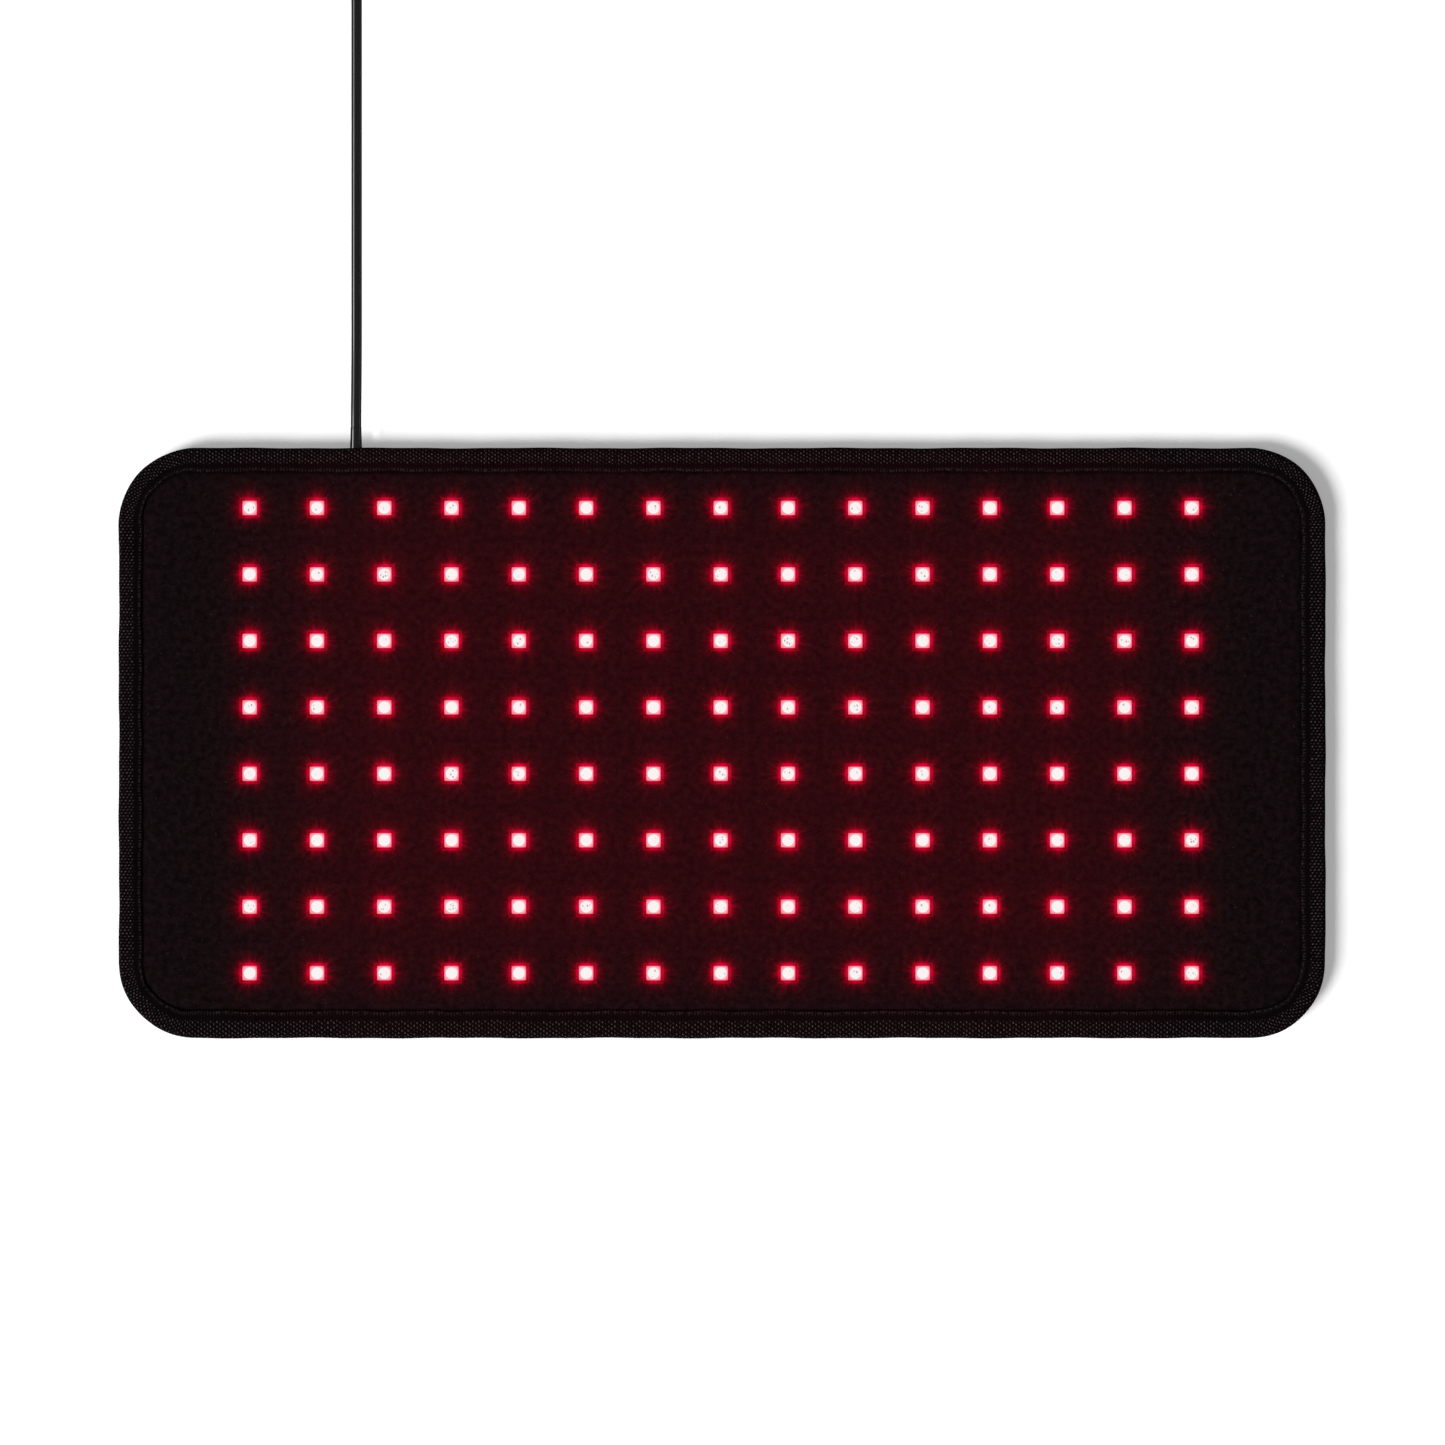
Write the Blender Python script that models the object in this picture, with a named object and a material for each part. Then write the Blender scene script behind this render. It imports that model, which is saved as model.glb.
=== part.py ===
"""Red light therapy wrap: a flexible pad of LED boards in a bound fabric cover, with its lead.

The pad lies flat with the LEDs up (+Z), its long side along X and its lead leaving the long edge at +Y.
Lengths are in metres. The origin is the centre of the pad's outline, on the surface that it lies on.
"""
import math

import bmesh
import bpy
from mathutils import Matrix, Vector

# Driving sizes of the LED field and of the margins round it
LED_COLUMNS = 15
LED_ROWS = 8
COLUMNS_PER_PANEL = 3
COLUMN_PITCH = 0.0240
ROW_PITCH = 0.0237
SIDE_MARGIN = 0.0470
END_MARGIN = 0.02205
FIELD_SHIFT_X = -0.0005
FIELD_SHIFT_Y = 0.0009
CORNER_RADIUS = 0.0270
CORNER_STEPS = 7

# Gap that touching pieces keep
FIT = 0.0003

# Layers of the pad, from the surface up
BACK_THICKNESS = 0.0018
FOAM_UNDER_BOARD = 0.0024
BOARD_THICKNESS = 0.0006
LED_HEIGHT = 0.0016
LED_RECESS = 0.0003

# Binding tape folded round the edge
TAPE_THICKNESS = 0.0006
TAPE_WIDTH = 0.0080
TAPE_PROUD = 0.0003
TAPE_EDGE_RADIUS = 0.0020
TAPE_FOLD = 0.0010
TAPE_ARC_STEPS = 3

# LED package and its window in the front cover
LED_SIDE = 0.0050
LED_FOOT = 0.0002
LED_CUP_RIM = 0.00035
LED_CUP_DEPTH = 0.0004
LED_CUP_SIDES = 8
WINDOW_CLEARANCE = 0.0007

# LED boards: a strip for each column, with side tabs that carry the supply
STRIP_WIDTH = 0.0100
STRIP_END = 0.0045
TAB_HEIGHT = 0.0050

# Lead and where it leaves the pad
LEAD_DIAMETER = 0.0038
LEAD_COLUMN_SHARE = 1.56667
RELIEF_OUTSIDE = 0.0065
RELIEF_ROOT_WALL = 0.00025
RELIEF_TIP_WALL = 0.00005
RELIEF_SIDES = 16
WING_WIDTH = 0.0120
WING_LENGTH = 0.0030
WING_SETBACK = 0.0110
TERMINAL_WIDTH = 0.0080
TERMINAL_CHAMFER = 0.0010

# Coil of the put-away length
COIL_TURNS_IN = 4
COIL_TURNS_OUT = 3.75
COIL_STEPS = 24
COIL_TURN_GAP = 0.0005
COIL_INNER_RADIUS = 0.0164
COIL_CENTRE_X = -0.0973
COIL_CENTRE_Y = 0.3080

# How finely cords and round pieces are made
ROUTE_STEPS = 24
ROUTE_SPACING_SHARE = 2.4
CORD_BEVEL_STEPS = 2
COIL_BEVEL_STEPS = 1
SMOOTH_ANGLE = math.radians(40)

# Tie round the coil
TIE_WIDTH = 0.0080
TIE_THICKNESS = 0.0007
TIE_CORNER = 0.0020
TIE_CORNER_STEPS = 3

# In-line controller
CONTROLLER_X = 0.0550
CONTROLLER_Y = 0.3160
CONTROLLER_LENGTH = 0.0800
CONTROLLER_WIDTH = 0.0320
CONTROLLER_CORNER = 0.0090
CONTROLLER_CORNER_STEPS = 6
CONTROLLER_WALL = 0.0016
LIP_THICKNESS = 0.0006
LIP_HEIGHT = 0.0010
LOWER_CLEARANCE = 0.0009
TOP_ROUNDING = 0.0030
BOTTOM_ROUNDING = 0.0012
ROUNDING_STEPS = 4

# Controller's inside: screw posts, ribs and circuit board
SCREW_END_MARGIN = 0.0090
SCREW_SIDE_MARGIN = 0.0065
POST_WALL = 0.0004
SCREW_DIAMETER = 0.0020
SCREW_HEAD_DIAMETER = 0.0038
SCREW_HEAD_HEIGHT = 0.0012
SCREW_TIP_DIAMETER = 0.0012
SCREW_BITE = 0.0030
SCREW_SIDES = 12
SLOT_SHARE = 0.7
SLOT_WIDTH = 0.0006
SLOT_DEPTH = 0.0005
RIB_WIDTH = 0.0016
RIB_SHARE = 0.55
CIRCUIT_END_MARGIN = 0.0130
CIRCUIT_SIDE_MARGIN = 0.0040
CIRCUIT_THICKNESS = 0.0012
SWITCH_SIDE = 0.0060
SWITCH_HEIGHT = 0.0017
SWITCH_FOOT = 0.0002

# Buttons and light pipe
BUTTON_TRAVEL = 0.0006
BUTTON_PROUD = 0.0008
BUTTON_CROWN = 0.0004
BUTTON_FLANGE = 0.0008
BUTTON_SIDES = 28
POWER_X = -0.0150
POWER_DIAMETER = 0.0110
TIMER_X = 0.0130
TIMER_LENGTH = 0.0150
TIMER_WIDTH = 0.0080
STEM_DIAMETER = 0.0030
STEM_LENGTH = 0.0007
PIPE_X = -0.0020
PIPE_DIAMETER = 0.0024
PIPE_FLANGE_DIAMETER = 0.0036
PIPE_SIDES = 12

# Reliefs at the controller's ends
SLEEVE_LENGTH = 0.0200
SLEEVE_ROOT_WALL = 0.0013
SLEEVE_TIP_WALL = 0.0004
SLEEVE_NECK_STEP = 0.0005
SLEEVE_FLANGE_LIP = 0.0008
SLEEVE_FLANGE = 0.0012
SLEEVE_GROOVES = 3
SLEEVE_GROOVE_DEPTH = 0.0005
SLEEVE_SIDES = 12

# Supply plug
PLUG_TIP_X = 0.0720
PLUG_Y = 0.2780
PLUG_DIAMETER = 0.0100
PLUG_BODY_LENGTH = 0.0200
PLUG_TAIL_LENGTH = 0.0140
PLUG_NOSE_DIAMETER = 0.0076
PLUG_NOSE_LENGTH = 0.0020
PLUG_GRIPS = 4
PLUG_GRIP_DEPTH = 0.0004
PLUG_SIDES = 16
CONTACT_DIAMETER = 0.0055
CONTACT_WALL = 0.0004
CONTACT_LENGTH = 0.0095
CONTACT_SEAT = 0.0020
CORE_BORE_DIAMETER = 0.0021
CORE_BORE_DEPTH = 0.0080
CORE_RECESS = 0.0004

# Cut shapes run past the faces that they open by this much
OVERRUN = 0.0020

# Values that follow from the sizes above
PAD_LENGTH = (LED_COLUMNS - 1) * COLUMN_PITCH + 2 * SIDE_MARGIN
PAD_WIDTH = (LED_ROWS - 1) * ROW_PITCH + 2 * END_MARGIN
HALF_LENGTH = PAD_LENGTH / 2
HALF_WIDTH = PAD_WIDTH / 2
PANELS = LED_COLUMNS // COLUMNS_PER_PANEL
FOAM_BOTTOM = BACK_THICKNESS + FIT
BOARD_SEAT = FOAM_BOTTOM + FOAM_UNDER_BOARD
BOARD_BOTTOM = BOARD_SEAT + FIT
BOARD_TOP = BOARD_BOTTOM + BOARD_THICKNESS
FRONT_BOTTOM = BOARD_TOP + FIT
LED_TOP = BOARD_TOP + LED_HEIGHT
FRONT_TOP = LED_TOP + LED_RECESS
PAD_TOP = FRONT_TOP + TAPE_PROUD
RIM_TOP = PAD_TOP - TAPE_THICKNESS - FIT
RIM_BOTTOM = TAPE_THICKNESS + FIT
COVER_INSET = TAPE_THICKNESS + FIT
LEAD_X = FIELD_SHIFT_X + (LEAD_COLUMN_SHARE - (LED_COLUMNS - 1) / 2) * COLUMN_PITCH
LEAD_Z = (BACK_THICKNESS + FRONT_BOTTOM) / 2
LEAD_RADIUS = LEAD_DIAMETER / 2
FLOOR_Z = LEAD_RADIUS
COIL_LIFT = TIE_THICKNESS + FIT
COIL_PITCH = LEAD_DIAMETER + COIL_TURN_GAP
COIL_LOW_Z = COIL_LIFT + LEAD_RADIUS
COIL_HIGH_Z = COIL_LOW_Z + COIL_PITCH
PLUG_Z = PLUG_DIAMETER / 2
WINDOW_SIDE = LED_SIDE + 2 * WINDOW_CLEARANCE
RELIEF_ROOT_RADIUS = LEAD_RADIUS + RELIEF_ROOT_WALL
RELIEF_TIP_RADIUS = LEAD_RADIUS + RELIEF_TIP_WALL
SLEEVE_ROOT_RADIUS = LEAD_RADIUS + SLEEVE_ROOT_WALL
SLEEVE_TIP_RADIUS = LEAD_RADIUS + SLEEVE_TIP_WALL
SLEEVE_NECK_RADIUS = SLEEVE_ROOT_RADIUS - SLEEVE_NECK_STEP
SLEEVE_FLANGE_RADIUS = SLEEVE_ROOT_RADIUS + SLEEVE_FLANGE_LIP
CONTROLLER_SPLIT = CONTROLLER_WALL + SLEEVE_FLANGE_RADIUS + LOWER_CLEARANCE
CIRCUIT_BOTTOM = CONTROLLER_SPLIT + FIT
CIRCUIT_TOP = CIRCUIT_BOTTOM + CIRCUIT_THICKNESS
CIRCUIT_HALF_LENGTH = CONTROLLER_LENGTH / 2 - CIRCUIT_END_MARGIN
CIRCUIT_HALF_WIDTH = CONTROLLER_WIDTH / 2 - CIRCUIT_SIDE_MARGIN
STEM_BOTTOM = CIRCUIT_TOP + SWITCH_HEIGHT + BUTTON_TRAVEL + FIT
FLANGE_BOTTOM = STEM_BOTTOM + STEM_LENGTH
FLANGE_TOP = FLANGE_BOTTOM + BUTTON_FLANGE
CEILING = FLANGE_TOP + FIT
CONTROLLER_HEIGHT = CEILING + CONTROLLER_WALL
SCREW_HEAD_RADIUS = SCREW_HEAD_DIAMETER / 2
SCREW_RADIUS = SCREW_DIAMETER / 2
POST_RADIUS = SCREW_HEAD_RADIUS + FIT + POST_WALL
BOSS_BOTTOM = CONTROLLER_SPLIT + 2 * FIT


def colour_material(name, colour, roughness, metallic=0.0):
    """A Principled material with one colour, roughness and metallic value."""
    material = bpy.data.materials.new(name)
    material.use_nodes = True
    shader = material.node_tree.nodes["Principled BSDF"]
    shader.inputs["Base Color"].default_value = (*colour, 1.0)
    shader.inputs["Roughness"].default_value = roughness
    shader.inputs["Metallic"].default_value = metallic
    return material


def add_object(name, mesh, material, location=(0, 0, 0)):
    """Puts a mesh into the scene under the part's name, with its material."""
    part = bpy.data.objects.new(name, mesh)
    part.location = location
    mesh.materials.clear()
    mesh.materials.append(material)
    bpy.context.scene.collection.objects.link(part)
    return part


def finish_mesh(name, bm, smooth_angle=None):
    """Closes a bmesh into a mesh with its faces pointing out, shaded smooth below an angle if given."""
    bmesh.ops.recalc_face_normals(bm, faces=bm.faces)
    mesh = bpy.data.meshes.new(name)
    bm.to_mesh(mesh)
    bm.free()
    if smooth_angle:
        mesh.shade_smooth()
        mesh.set_sharp_from_angle(angle=smooth_angle)
    return mesh


def as_cutter(mesh, name):
    """Makes a mesh a hidden cutting shape."""
    cutter = bpy.data.objects.new(name, mesh)
    cutter.hide_render = True
    cutter.display_type = "WIRE"
    bpy.context.scene.collection.objects.link(cutter)
    return cutter


def combine(part, other, operation):
    """Adds or cuts another object with a live Boolean modifier."""
    modifier = part.modifiers.new(operation.lower(), "BOOLEAN")
    modifier.operation = operation
    modifier.solver = "EXACT"
    modifier.object = other


def evaluated_mesh(part, name):
    """The mesh of an object with its modifiers worked in."""
    depsgraph = bpy.context.evaluated_depsgraph_get()
    mesh = bpy.data.meshes.new_from_object(part.evaluated_get(depsgraph))
    mesh.name = name
    return mesh


def stack_loops(bm, loops, flat_sides=()):
    """Joins loops of equally many points into one closed shell, with a face over the first and the last.

    A side in flat_sides, named by its first point, is one face from the first loop to the last.
    """
    rings = [[bm.verts.new(point) for point in loop] for loop in loops]
    count = len(rings[0])
    for i in range(count):
        j = (i + 1) % count
        if i in flat_sides:
            bm.faces.new([ring[j] for ring in rings] + [ring[i] for ring in reversed(rings)])
            continue
        for lower, upper in zip(rings, rings[1:]):
            bm.faces.new((lower[i], lower[j], upper[j], upper[i]))
    bm.faces.new(list(reversed(rings[0])))
    bm.faces.new(rings[-1])


def at_height(outline, z):
    """Lifts a flat outline to a height."""
    return [(x, y, z) for x, y in outline]


def arc_points(centre_x, centre_y, radius, start_share, steps, span_share=0.25):
    """Points of an arc, anticlockwise, its start and span given in full turns."""
    points = []
    for i in range(steps + 1):
        angle = (start_share + i / steps * span_share) * math.tau
        points.append((centre_x + radius * math.cos(angle), centre_y + radius * math.sin(angle)))
    return points


def rounded_outline(half_x, half_y, radius, steps):
    """Anticlockwise outline of a rectangle with round corners."""
    cx = half_x - radius
    cy = half_y - radius
    points = arc_points(cx, cy, radius, 0, steps)
    points += arc_points(-cx, cy, radius, 0.25, steps)
    points += arc_points(-cx, -cy, radius, 0.5, steps)
    points += arc_points(cx, -cy, radius, 0.75, steps)
    return points


def oval_outline(half_x, half_y, steps):
    """Anticlockwise outline of an oval with half-round ends."""
    cx = half_x - half_y
    return (arc_points(cx, 0, half_y, 0.75, steps, 0.5)
            + arc_points(-cx, 0, half_y, 0.25, steps, 0.5))


def circle_outline(centre_x, centre_y, radius, sides):
    """Anticlockwise outline of a many-sided circle."""
    angles = [math.tau * (i + 0.5) / sides for i in range(sides)]
    return [(centre_x + radius * math.cos(a), centre_y + radius * math.sin(a)) for a in angles]


def add_box(bm, low, high):
    """Adds a closed box between two corners."""
    outline = [(low[0], low[1]), (high[0], low[1]), (high[0], high[1]), (low[0], high[1])]
    stack_loops(bm, [at_height(outline, low[2]), at_height(outline, high[2])])


def add_turned(bm, profile, axis, centre, sides):
    """Turns a profile of (distance along the axis, radius) about a line through the centre."""
    turn = {"X": Matrix.Rotation(math.tau / 4, 3, "Y"), "Y": Matrix.Rotation(-math.tau / 4, 3, "X"),
            "Z": Matrix.Identity(3)}[axis]
    loops = []
    for along, radius in profile:
        loop = []
        for x, y in circle_outline(0, 0, radius, sides):
            loop.append(Vector(centre) + turn @ Vector((x, y, along)))
        loops.append(loop)
    stack_loops(bm, loops)


def column_x(column):
    """Middle of an LED column, counted from 0 at the left; half values lie between two columns."""
    return FIELD_SHIFT_X + (column - (LED_COLUMNS - 1) / 2) * COLUMN_PITCH


def row_y(row):
    """Middle of an LED row, counted from 0 at the top edge."""
    return FIELD_SHIFT_Y + ((LED_ROWS - 1) / 2 - row) * ROW_PITCH


def panel_span(panel):
    """Left and right end of a panel, half a fit away from the bend lines on its sides."""
    first = column_x(panel * COLUMNS_PER_PANEL) - COLUMN_PITCH / 2
    last = first + COLUMNS_PER_PANEL * COLUMN_PITCH
    left = -HALF_LENGTH if panel == 0 else first + FIT / 2
    right = HALF_LENGTH if panel == PANELS - 1 else last - FIT / 2
    return left, right


def panel_outline(panel, inset):
    """Anticlockwise outline of a panel, drawn in from the pad's edge but not from its bend lines."""
    left, right = panel_span(panel)
    radius = CORNER_RADIUS - inset
    corner_x = HALF_LENGTH - CORNER_RADIUS
    corner_y = HALF_WIDTH - CORNER_RADIUS
    edge_y = HALF_WIDTH - inset
    if panel == 0:
        points = [(right, -edge_y), (right, edge_y)]
        points += arc_points(-corner_x, corner_y, radius, 0.25, CORNER_STEPS)
        points += arc_points(-corner_x, -corner_y, radius, 0.5, CORNER_STEPS)
    elif panel == PANELS - 1:
        points = [(left, edge_y), (left, -edge_y)]
        points += arc_points(corner_x, -corner_y, radius, 0.75, CORNER_STEPS)
        points += arc_points(corner_x, corner_y, radius, 0, CORNER_STEPS)
    else:
        points = [(left, -edge_y), (right, -edge_y), (right, edge_y), (left, edge_y)]
    return points


def bend_sides(panel):
    """Sides of a panel's outline that lie on its bend lines, each named by its first point."""
    return (0,) if panel in (0, PANELS - 1) else (1, 3)


def front_cover_mesh(panel):
    """Sheet over the boards, thinned at the rim and slanted there to fit into the folded tape."""
    rebate = TAPE_WIDTH + FIT
    rim = RIM_TOP - FRONT_BOTTOM
    low_inset = COVER_INSET + max(TAPE_FOLD - rim, 0)
    bm = bmesh.new()
    stack_loops(bm, [
        at_height(panel_outline(panel, low_inset), FRONT_BOTTOM),
        at_height(panel_outline(panel, low_inset + rim), RIM_TOP),
        at_height(panel_outline(panel, rebate), RIM_TOP),
        at_height(panel_outline(panel, rebate), FRONT_TOP),
    ], bend_sides(panel))
    return finish_mesh("front_cover", bm)


def back_cover_mesh(panel):
    """Loop-pile sheet under the foam, with the same rim as the front cover, turned over."""
    rebate = TAPE_WIDTH + FIT
    rim = BACK_THICKNESS - RIM_BOTTOM
    high_inset = COVER_INSET + max(TAPE_FOLD - rim, 0)
    bm = bmesh.new()
    stack_loops(bm, [
        at_height(panel_outline(panel, rebate), 0),
        at_height(panel_outline(panel, rebate), RIM_BOTTOM),
        at_height(panel_outline(panel, high_inset + rim), RIM_BOTTOM),
        at_height(panel_outline(panel, high_inset), BACK_THICKNESS),
    ], bend_sides(panel))
    return finish_mesh("back_cover", bm)


def foam_core_mesh(panel):
    """Foam sheet between the covers, up to the underside of the front cover."""
    outline = panel_outline(panel, COVER_INSET)
    bm = bmesh.new()
    stack_loops(bm, [at_height(outline, FOAM_BOTTOM), at_height(outline, BOARD_TOP)])
    return finish_mesh("foam_core", bm)


def tape_profile():
    """Section of the folded tape as (inset from the pad's edge, height), with a round outside."""
    inner_low = TAPE_THICKNESS
    inner_high = PAD_TOP - TAPE_THICKNESS
    profile = [(TAPE_WIDTH, PAD_TOP)]
    for i in range(TAPE_ARC_STEPS + 1):
        angle = i / TAPE_ARC_STEPS * math.tau / 4
        profile.append((TAPE_EDGE_RADIUS * (1 - math.sin(angle)),
                        PAD_TOP - TAPE_EDGE_RADIUS * (1 - math.cos(angle))))
    for i in range(TAPE_ARC_STEPS + 1):
        angle = i / TAPE_ARC_STEPS * math.tau / 4
        profile.append((TAPE_EDGE_RADIUS * (1 - math.cos(angle)),
                        TAPE_EDGE_RADIUS * (1 - math.sin(angle))))
    profile += [
        (TAPE_WIDTH, 0),
        (TAPE_WIDTH, inner_low),
        (TAPE_THICKNESS + TAPE_FOLD, inner_low),
        (TAPE_THICKNESS, inner_low + TAPE_FOLD),
        (TAPE_THICKNESS, inner_high - TAPE_FOLD),
        (TAPE_THICKNESS + TAPE_FOLD, inner_high),
        (TAPE_WIDTH, inner_high),
    ]
    return profile


def tape_mesh(panel, side):
    """Tape carried along a panel's edge: side is end, for the piece with both corners, or top or bottom."""
    left, right = panel_span(panel)
    rings = []
    for inset, z in tape_profile():
        edge_y = HALF_WIDTH - inset
        if side == "end":
            outline = panel_outline(panel, inset)
            path = outline[1:] + outline[:1]
        elif side == "top":
            path = [(right, edge_y), (left, edge_y)]
        else:
            path = [(left, -edge_y), (right, -edge_y)]
        rings.append(at_height(path, z))
    stations = [list(station) for station in zip(*rings)]
    bm = bmesh.new()
    stack_loops(bm, stations)
    return finish_mesh("binding", bm, SMOOTH_ANGLE)


def strip_mesh(left_tab, right_tab):
    """LED board of one column, about the column's own middle, with tabs towards its neighbours."""
    half = STRIP_WIDTH / 2
    reach = COLUMN_PITCH / 2 - FIT / 2
    top = row_y(0) + STRIP_END
    bottom = row_y(LED_ROWS - 1) - STRIP_END
    outline = [(half, bottom)]
    if right_tab:
        outline = [(reach, bottom), (reach, bottom + TAB_HEIGHT), (half, bottom + TAB_HEIGHT),
                   (half, top - TAB_HEIGHT), (reach, top - TAB_HEIGHT), (reach, top)]
    else:
        outline.append((half, top))
    if left_tab:
        outline += [(-reach, top), (-reach, top - TAB_HEIGHT), (-half, top - TAB_HEIGHT),
                    (-half, bottom + TAB_HEIGHT), (-reach, bottom + TAB_HEIGHT), (-reach, bottom)]
    else:
        outline += [(-half, top), (-half, bottom)]
    bm = bmesh.new()
    stack_loops(bm, [at_height(outline, BOARD_BOTTOM), at_height(outline, BOARD_TOP)])
    return finish_mesh("strip_board", bm)


def led_packages_mesh():
    """The square LED bodies of one column, standing a little into the board."""
    half = LED_SIDE / 2
    bm = bmesh.new()
    for row in range(LED_ROWS):
        y = row_y(row)
        add_box(bm, (-half, y - half, BOARD_TOP - LED_FOOT), (half, y + half, LED_TOP))
    return finish_mesh("led_packages", bm)


def led_cups_mesh():
    """The many-sided cup in the top of every LED body of one column, which its clear resin fills."""
    radius = LED_SIDE / 2 - LED_CUP_RIM
    bm = bmesh.new()
    for row in range(LED_ROWS):
        outline = circle_outline(0, row_y(row), radius, LED_CUP_SIDES)
        stack_loops(bm, [at_height(outline, LED_TOP - LED_CUP_DEPTH),
                         at_height(outline, LED_TOP + OVERRUN)])
    return finish_mesh("led_cups", bm)


def window_cutter_mesh():
    """Square windows over every LED."""
    half = WINDOW_SIDE / 2
    bm = bmesh.new()
    for column in range(LED_COLUMNS):
        for row in range(LED_ROWS):
            x = column_x(column)
            y = row_y(row)
            add_box(bm, (x - half, y - half, FRONT_BOTTOM - OVERRUN),
                    (x + half, y + half, FRONT_TOP + OVERRUN))
    return finish_mesh("window_cutter", bm)


def board_recess_mesh(panel):
    """The recess in the foam that the boards lie in, open at the bend lines."""
    half = STRIP_WIDTH / 2 + FIT
    left, right = panel_span(panel)
    left = column_x(0) - half if panel == 0 else left - OVERRUN
    right = column_x(LED_COLUMNS - 1) + half if panel == PANELS - 1 else right + OVERRUN
    bm = bmesh.new()
    add_box(bm, (left, row_y(LED_ROWS - 1) - STRIP_END - FIT, BOARD_SEAT),
            (right, row_y(0) + STRIP_END + FIT, BOARD_TOP + OVERRUN))
    return finish_mesh("board_recess", bm)


def terminal_span():
    """Near and far end of the terminal block along Y, between the boards and the relief's wings."""
    return row_y(0) + STRIP_END + FIT, HALF_WIDTH - WING_SETBACK - FIT


def relief_passage_mesh():
    """The round way of the lead relief through the edge of the pad."""
    inner_end = terminal_span()[1]
    bore = RELIEF_ROOT_RADIUS + FIT
    bm = bmesh.new()
    add_turned(bm, [(inner_end, bore), (HALF_WIDTH + OVERRUN, bore)],
               "Y", (LEAD_X, 0, LEAD_Z), RELIEF_SIDES)
    return finish_mesh("relief_passage", bm)


def foam_pocket_mesh():
    """Pocket through the foam for the terminal block and the wings, as one stepped outline."""
    low, high = terminal_span()
    half_block = TERMINAL_WIDTH / 2 + FIT
    half_wing = WING_WIDTH / 2 + FIT
    wing_end = HALF_WIDTH - WING_SETBACK + WING_LENGTH + FIT
    outline = [(LEAD_X - half_block, low - OVERRUN), (LEAD_X + half_block, low - OVERRUN),
               (LEAD_X + half_block, high), (LEAD_X + half_wing, high),
               (LEAD_X + half_wing, wing_end), (LEAD_X - half_wing, wing_end),
               (LEAD_X - half_wing, high), (LEAD_X - half_block, high)]
    bm = bmesh.new()
    stack_loops(bm, [at_height(outline, FOAM_BOTTOM - OVERRUN), at_height(outline, BOARD_TOP + OVERRUN)])
    return finish_mesh("foam_pocket", bm)


def build_pad(materials):
    """Covers, foam, boards and binding of every panel, with the windows and the lead's way out cut."""
    windows = as_cutter(window_cutter_mesh(), "window_cutter")
    passage = as_cutter(relief_passage_mesh(), "relief_passage")
    pocket = as_cutter(foam_pocket_mesh(), "foam_pocket")
    for panel in range(PANELS):
        number = panel + 1
        front = add_object(f"front_cover_{number}", front_cover_mesh(panel), materials["front_fabric"])
        combine(front, windows, "DIFFERENCE")
        back = add_object(f"back_cover_{number}", back_cover_mesh(panel), materials["loop_pile"])
        foam = add_object(f"foam_core_{number}", foam_core_mesh(panel), materials["foam"])
        recess = as_cutter(board_recess_mesh(panel), f"board_recess_{number}")
        combine(foam, recess, "DIFFERENCE")
        if panel == 0:
            binding = add_object("binding_left", tape_mesh(panel, "end"), materials["tape"])
            for piece in (front, back, foam, binding):
                combine(piece, passage, "DIFFERENCE")
            combine(foam, pocket, "DIFFERENCE")
        elif panel == PANELS - 1:
            add_object("binding_right", tape_mesh(panel, "end"), materials["tape"])
        else:
            add_object(f"binding_top_{number}", tape_mesh(panel, "top"), materials["tape"])
            add_object(f"binding_bottom_{number}", tape_mesh(panel, "bottom"), materials["tape"])


def build_strips(materials):
    """One LED board for each column; columns with the same tabs share one mesh."""
    packages = as_cutter(led_packages_mesh(), "led_packages")
    cups = as_cutter(led_cups_mesh(), "led_cups")
    meshes = {}
    for column in range(LED_COLUMNS):
        tabs = (column > 0, column < LED_COLUMNS - 1)
        if tabs not in meshes:
            board = bpy.data.objects.new("board_blank", strip_mesh(*tabs))
            bpy.context.scene.collection.objects.link(board)
            combine(board, packages, "UNION")
            combine(board, cups, "DIFFERENCE")
            meshes[tabs] = evaluated_mesh(board, "led_strip")
            bpy.data.objects.remove(board)
        add_object(f"led_strip_{column + 1:02d}", meshes[tabs], materials["led"], (column_x(column), 0, 0))


def build_lead_entry(materials):
    """The tapered relief with its wings, and the terminal block between it and the boards."""
    wing_low = HALF_WIDTH - WING_SETBACK
    wing_high = wing_low + WING_LENGTH
    bm = bmesh.new()
    add_turned(bm, [(wing_low + WING_LENGTH / 2, RELIEF_ROOT_RADIUS), (HALF_WIDTH, RELIEF_ROOT_RADIUS),
                    (HALF_WIDTH + RELIEF_OUTSIDE, RELIEF_TIP_RADIUS)],
               "Y", (LEAD_X, 0, LEAD_Z), RELIEF_SIDES)
    relief = add_object("lead_relief", finish_mesh("lead_relief", bm, SMOOTH_ANGLE), materials["lead"])
    bm = bmesh.new()
    half = WING_WIDTH / 2
    add_box(bm, (LEAD_X - half, wing_low, FOAM_BOTTOM), (LEAD_X + half, wing_high, BOARD_TOP))
    combine(relief, as_cutter(finish_mesh("relief_wings", bm), "relief_wings"), "UNION")

    low, high = terminal_span()
    half = TERMINAL_WIDTH / 2
    chamfer = TERMINAL_CHAMFER
    outline = [(LEAD_X - half, low), (LEAD_X + half, low),
               (LEAD_X + half, high - chamfer), (LEAD_X + half - chamfer, high),
               (LEAD_X - half + chamfer, high), (LEAD_X - half, high - chamfer)]
    bm = bmesh.new()
    stack_loops(bm, [at_height(outline, FOAM_BOTTOM), at_height(outline, BOARD_TOP)])
    add_object("terminal_block", finish_mesh("terminal_block", bm), materials["plastic"])


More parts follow.
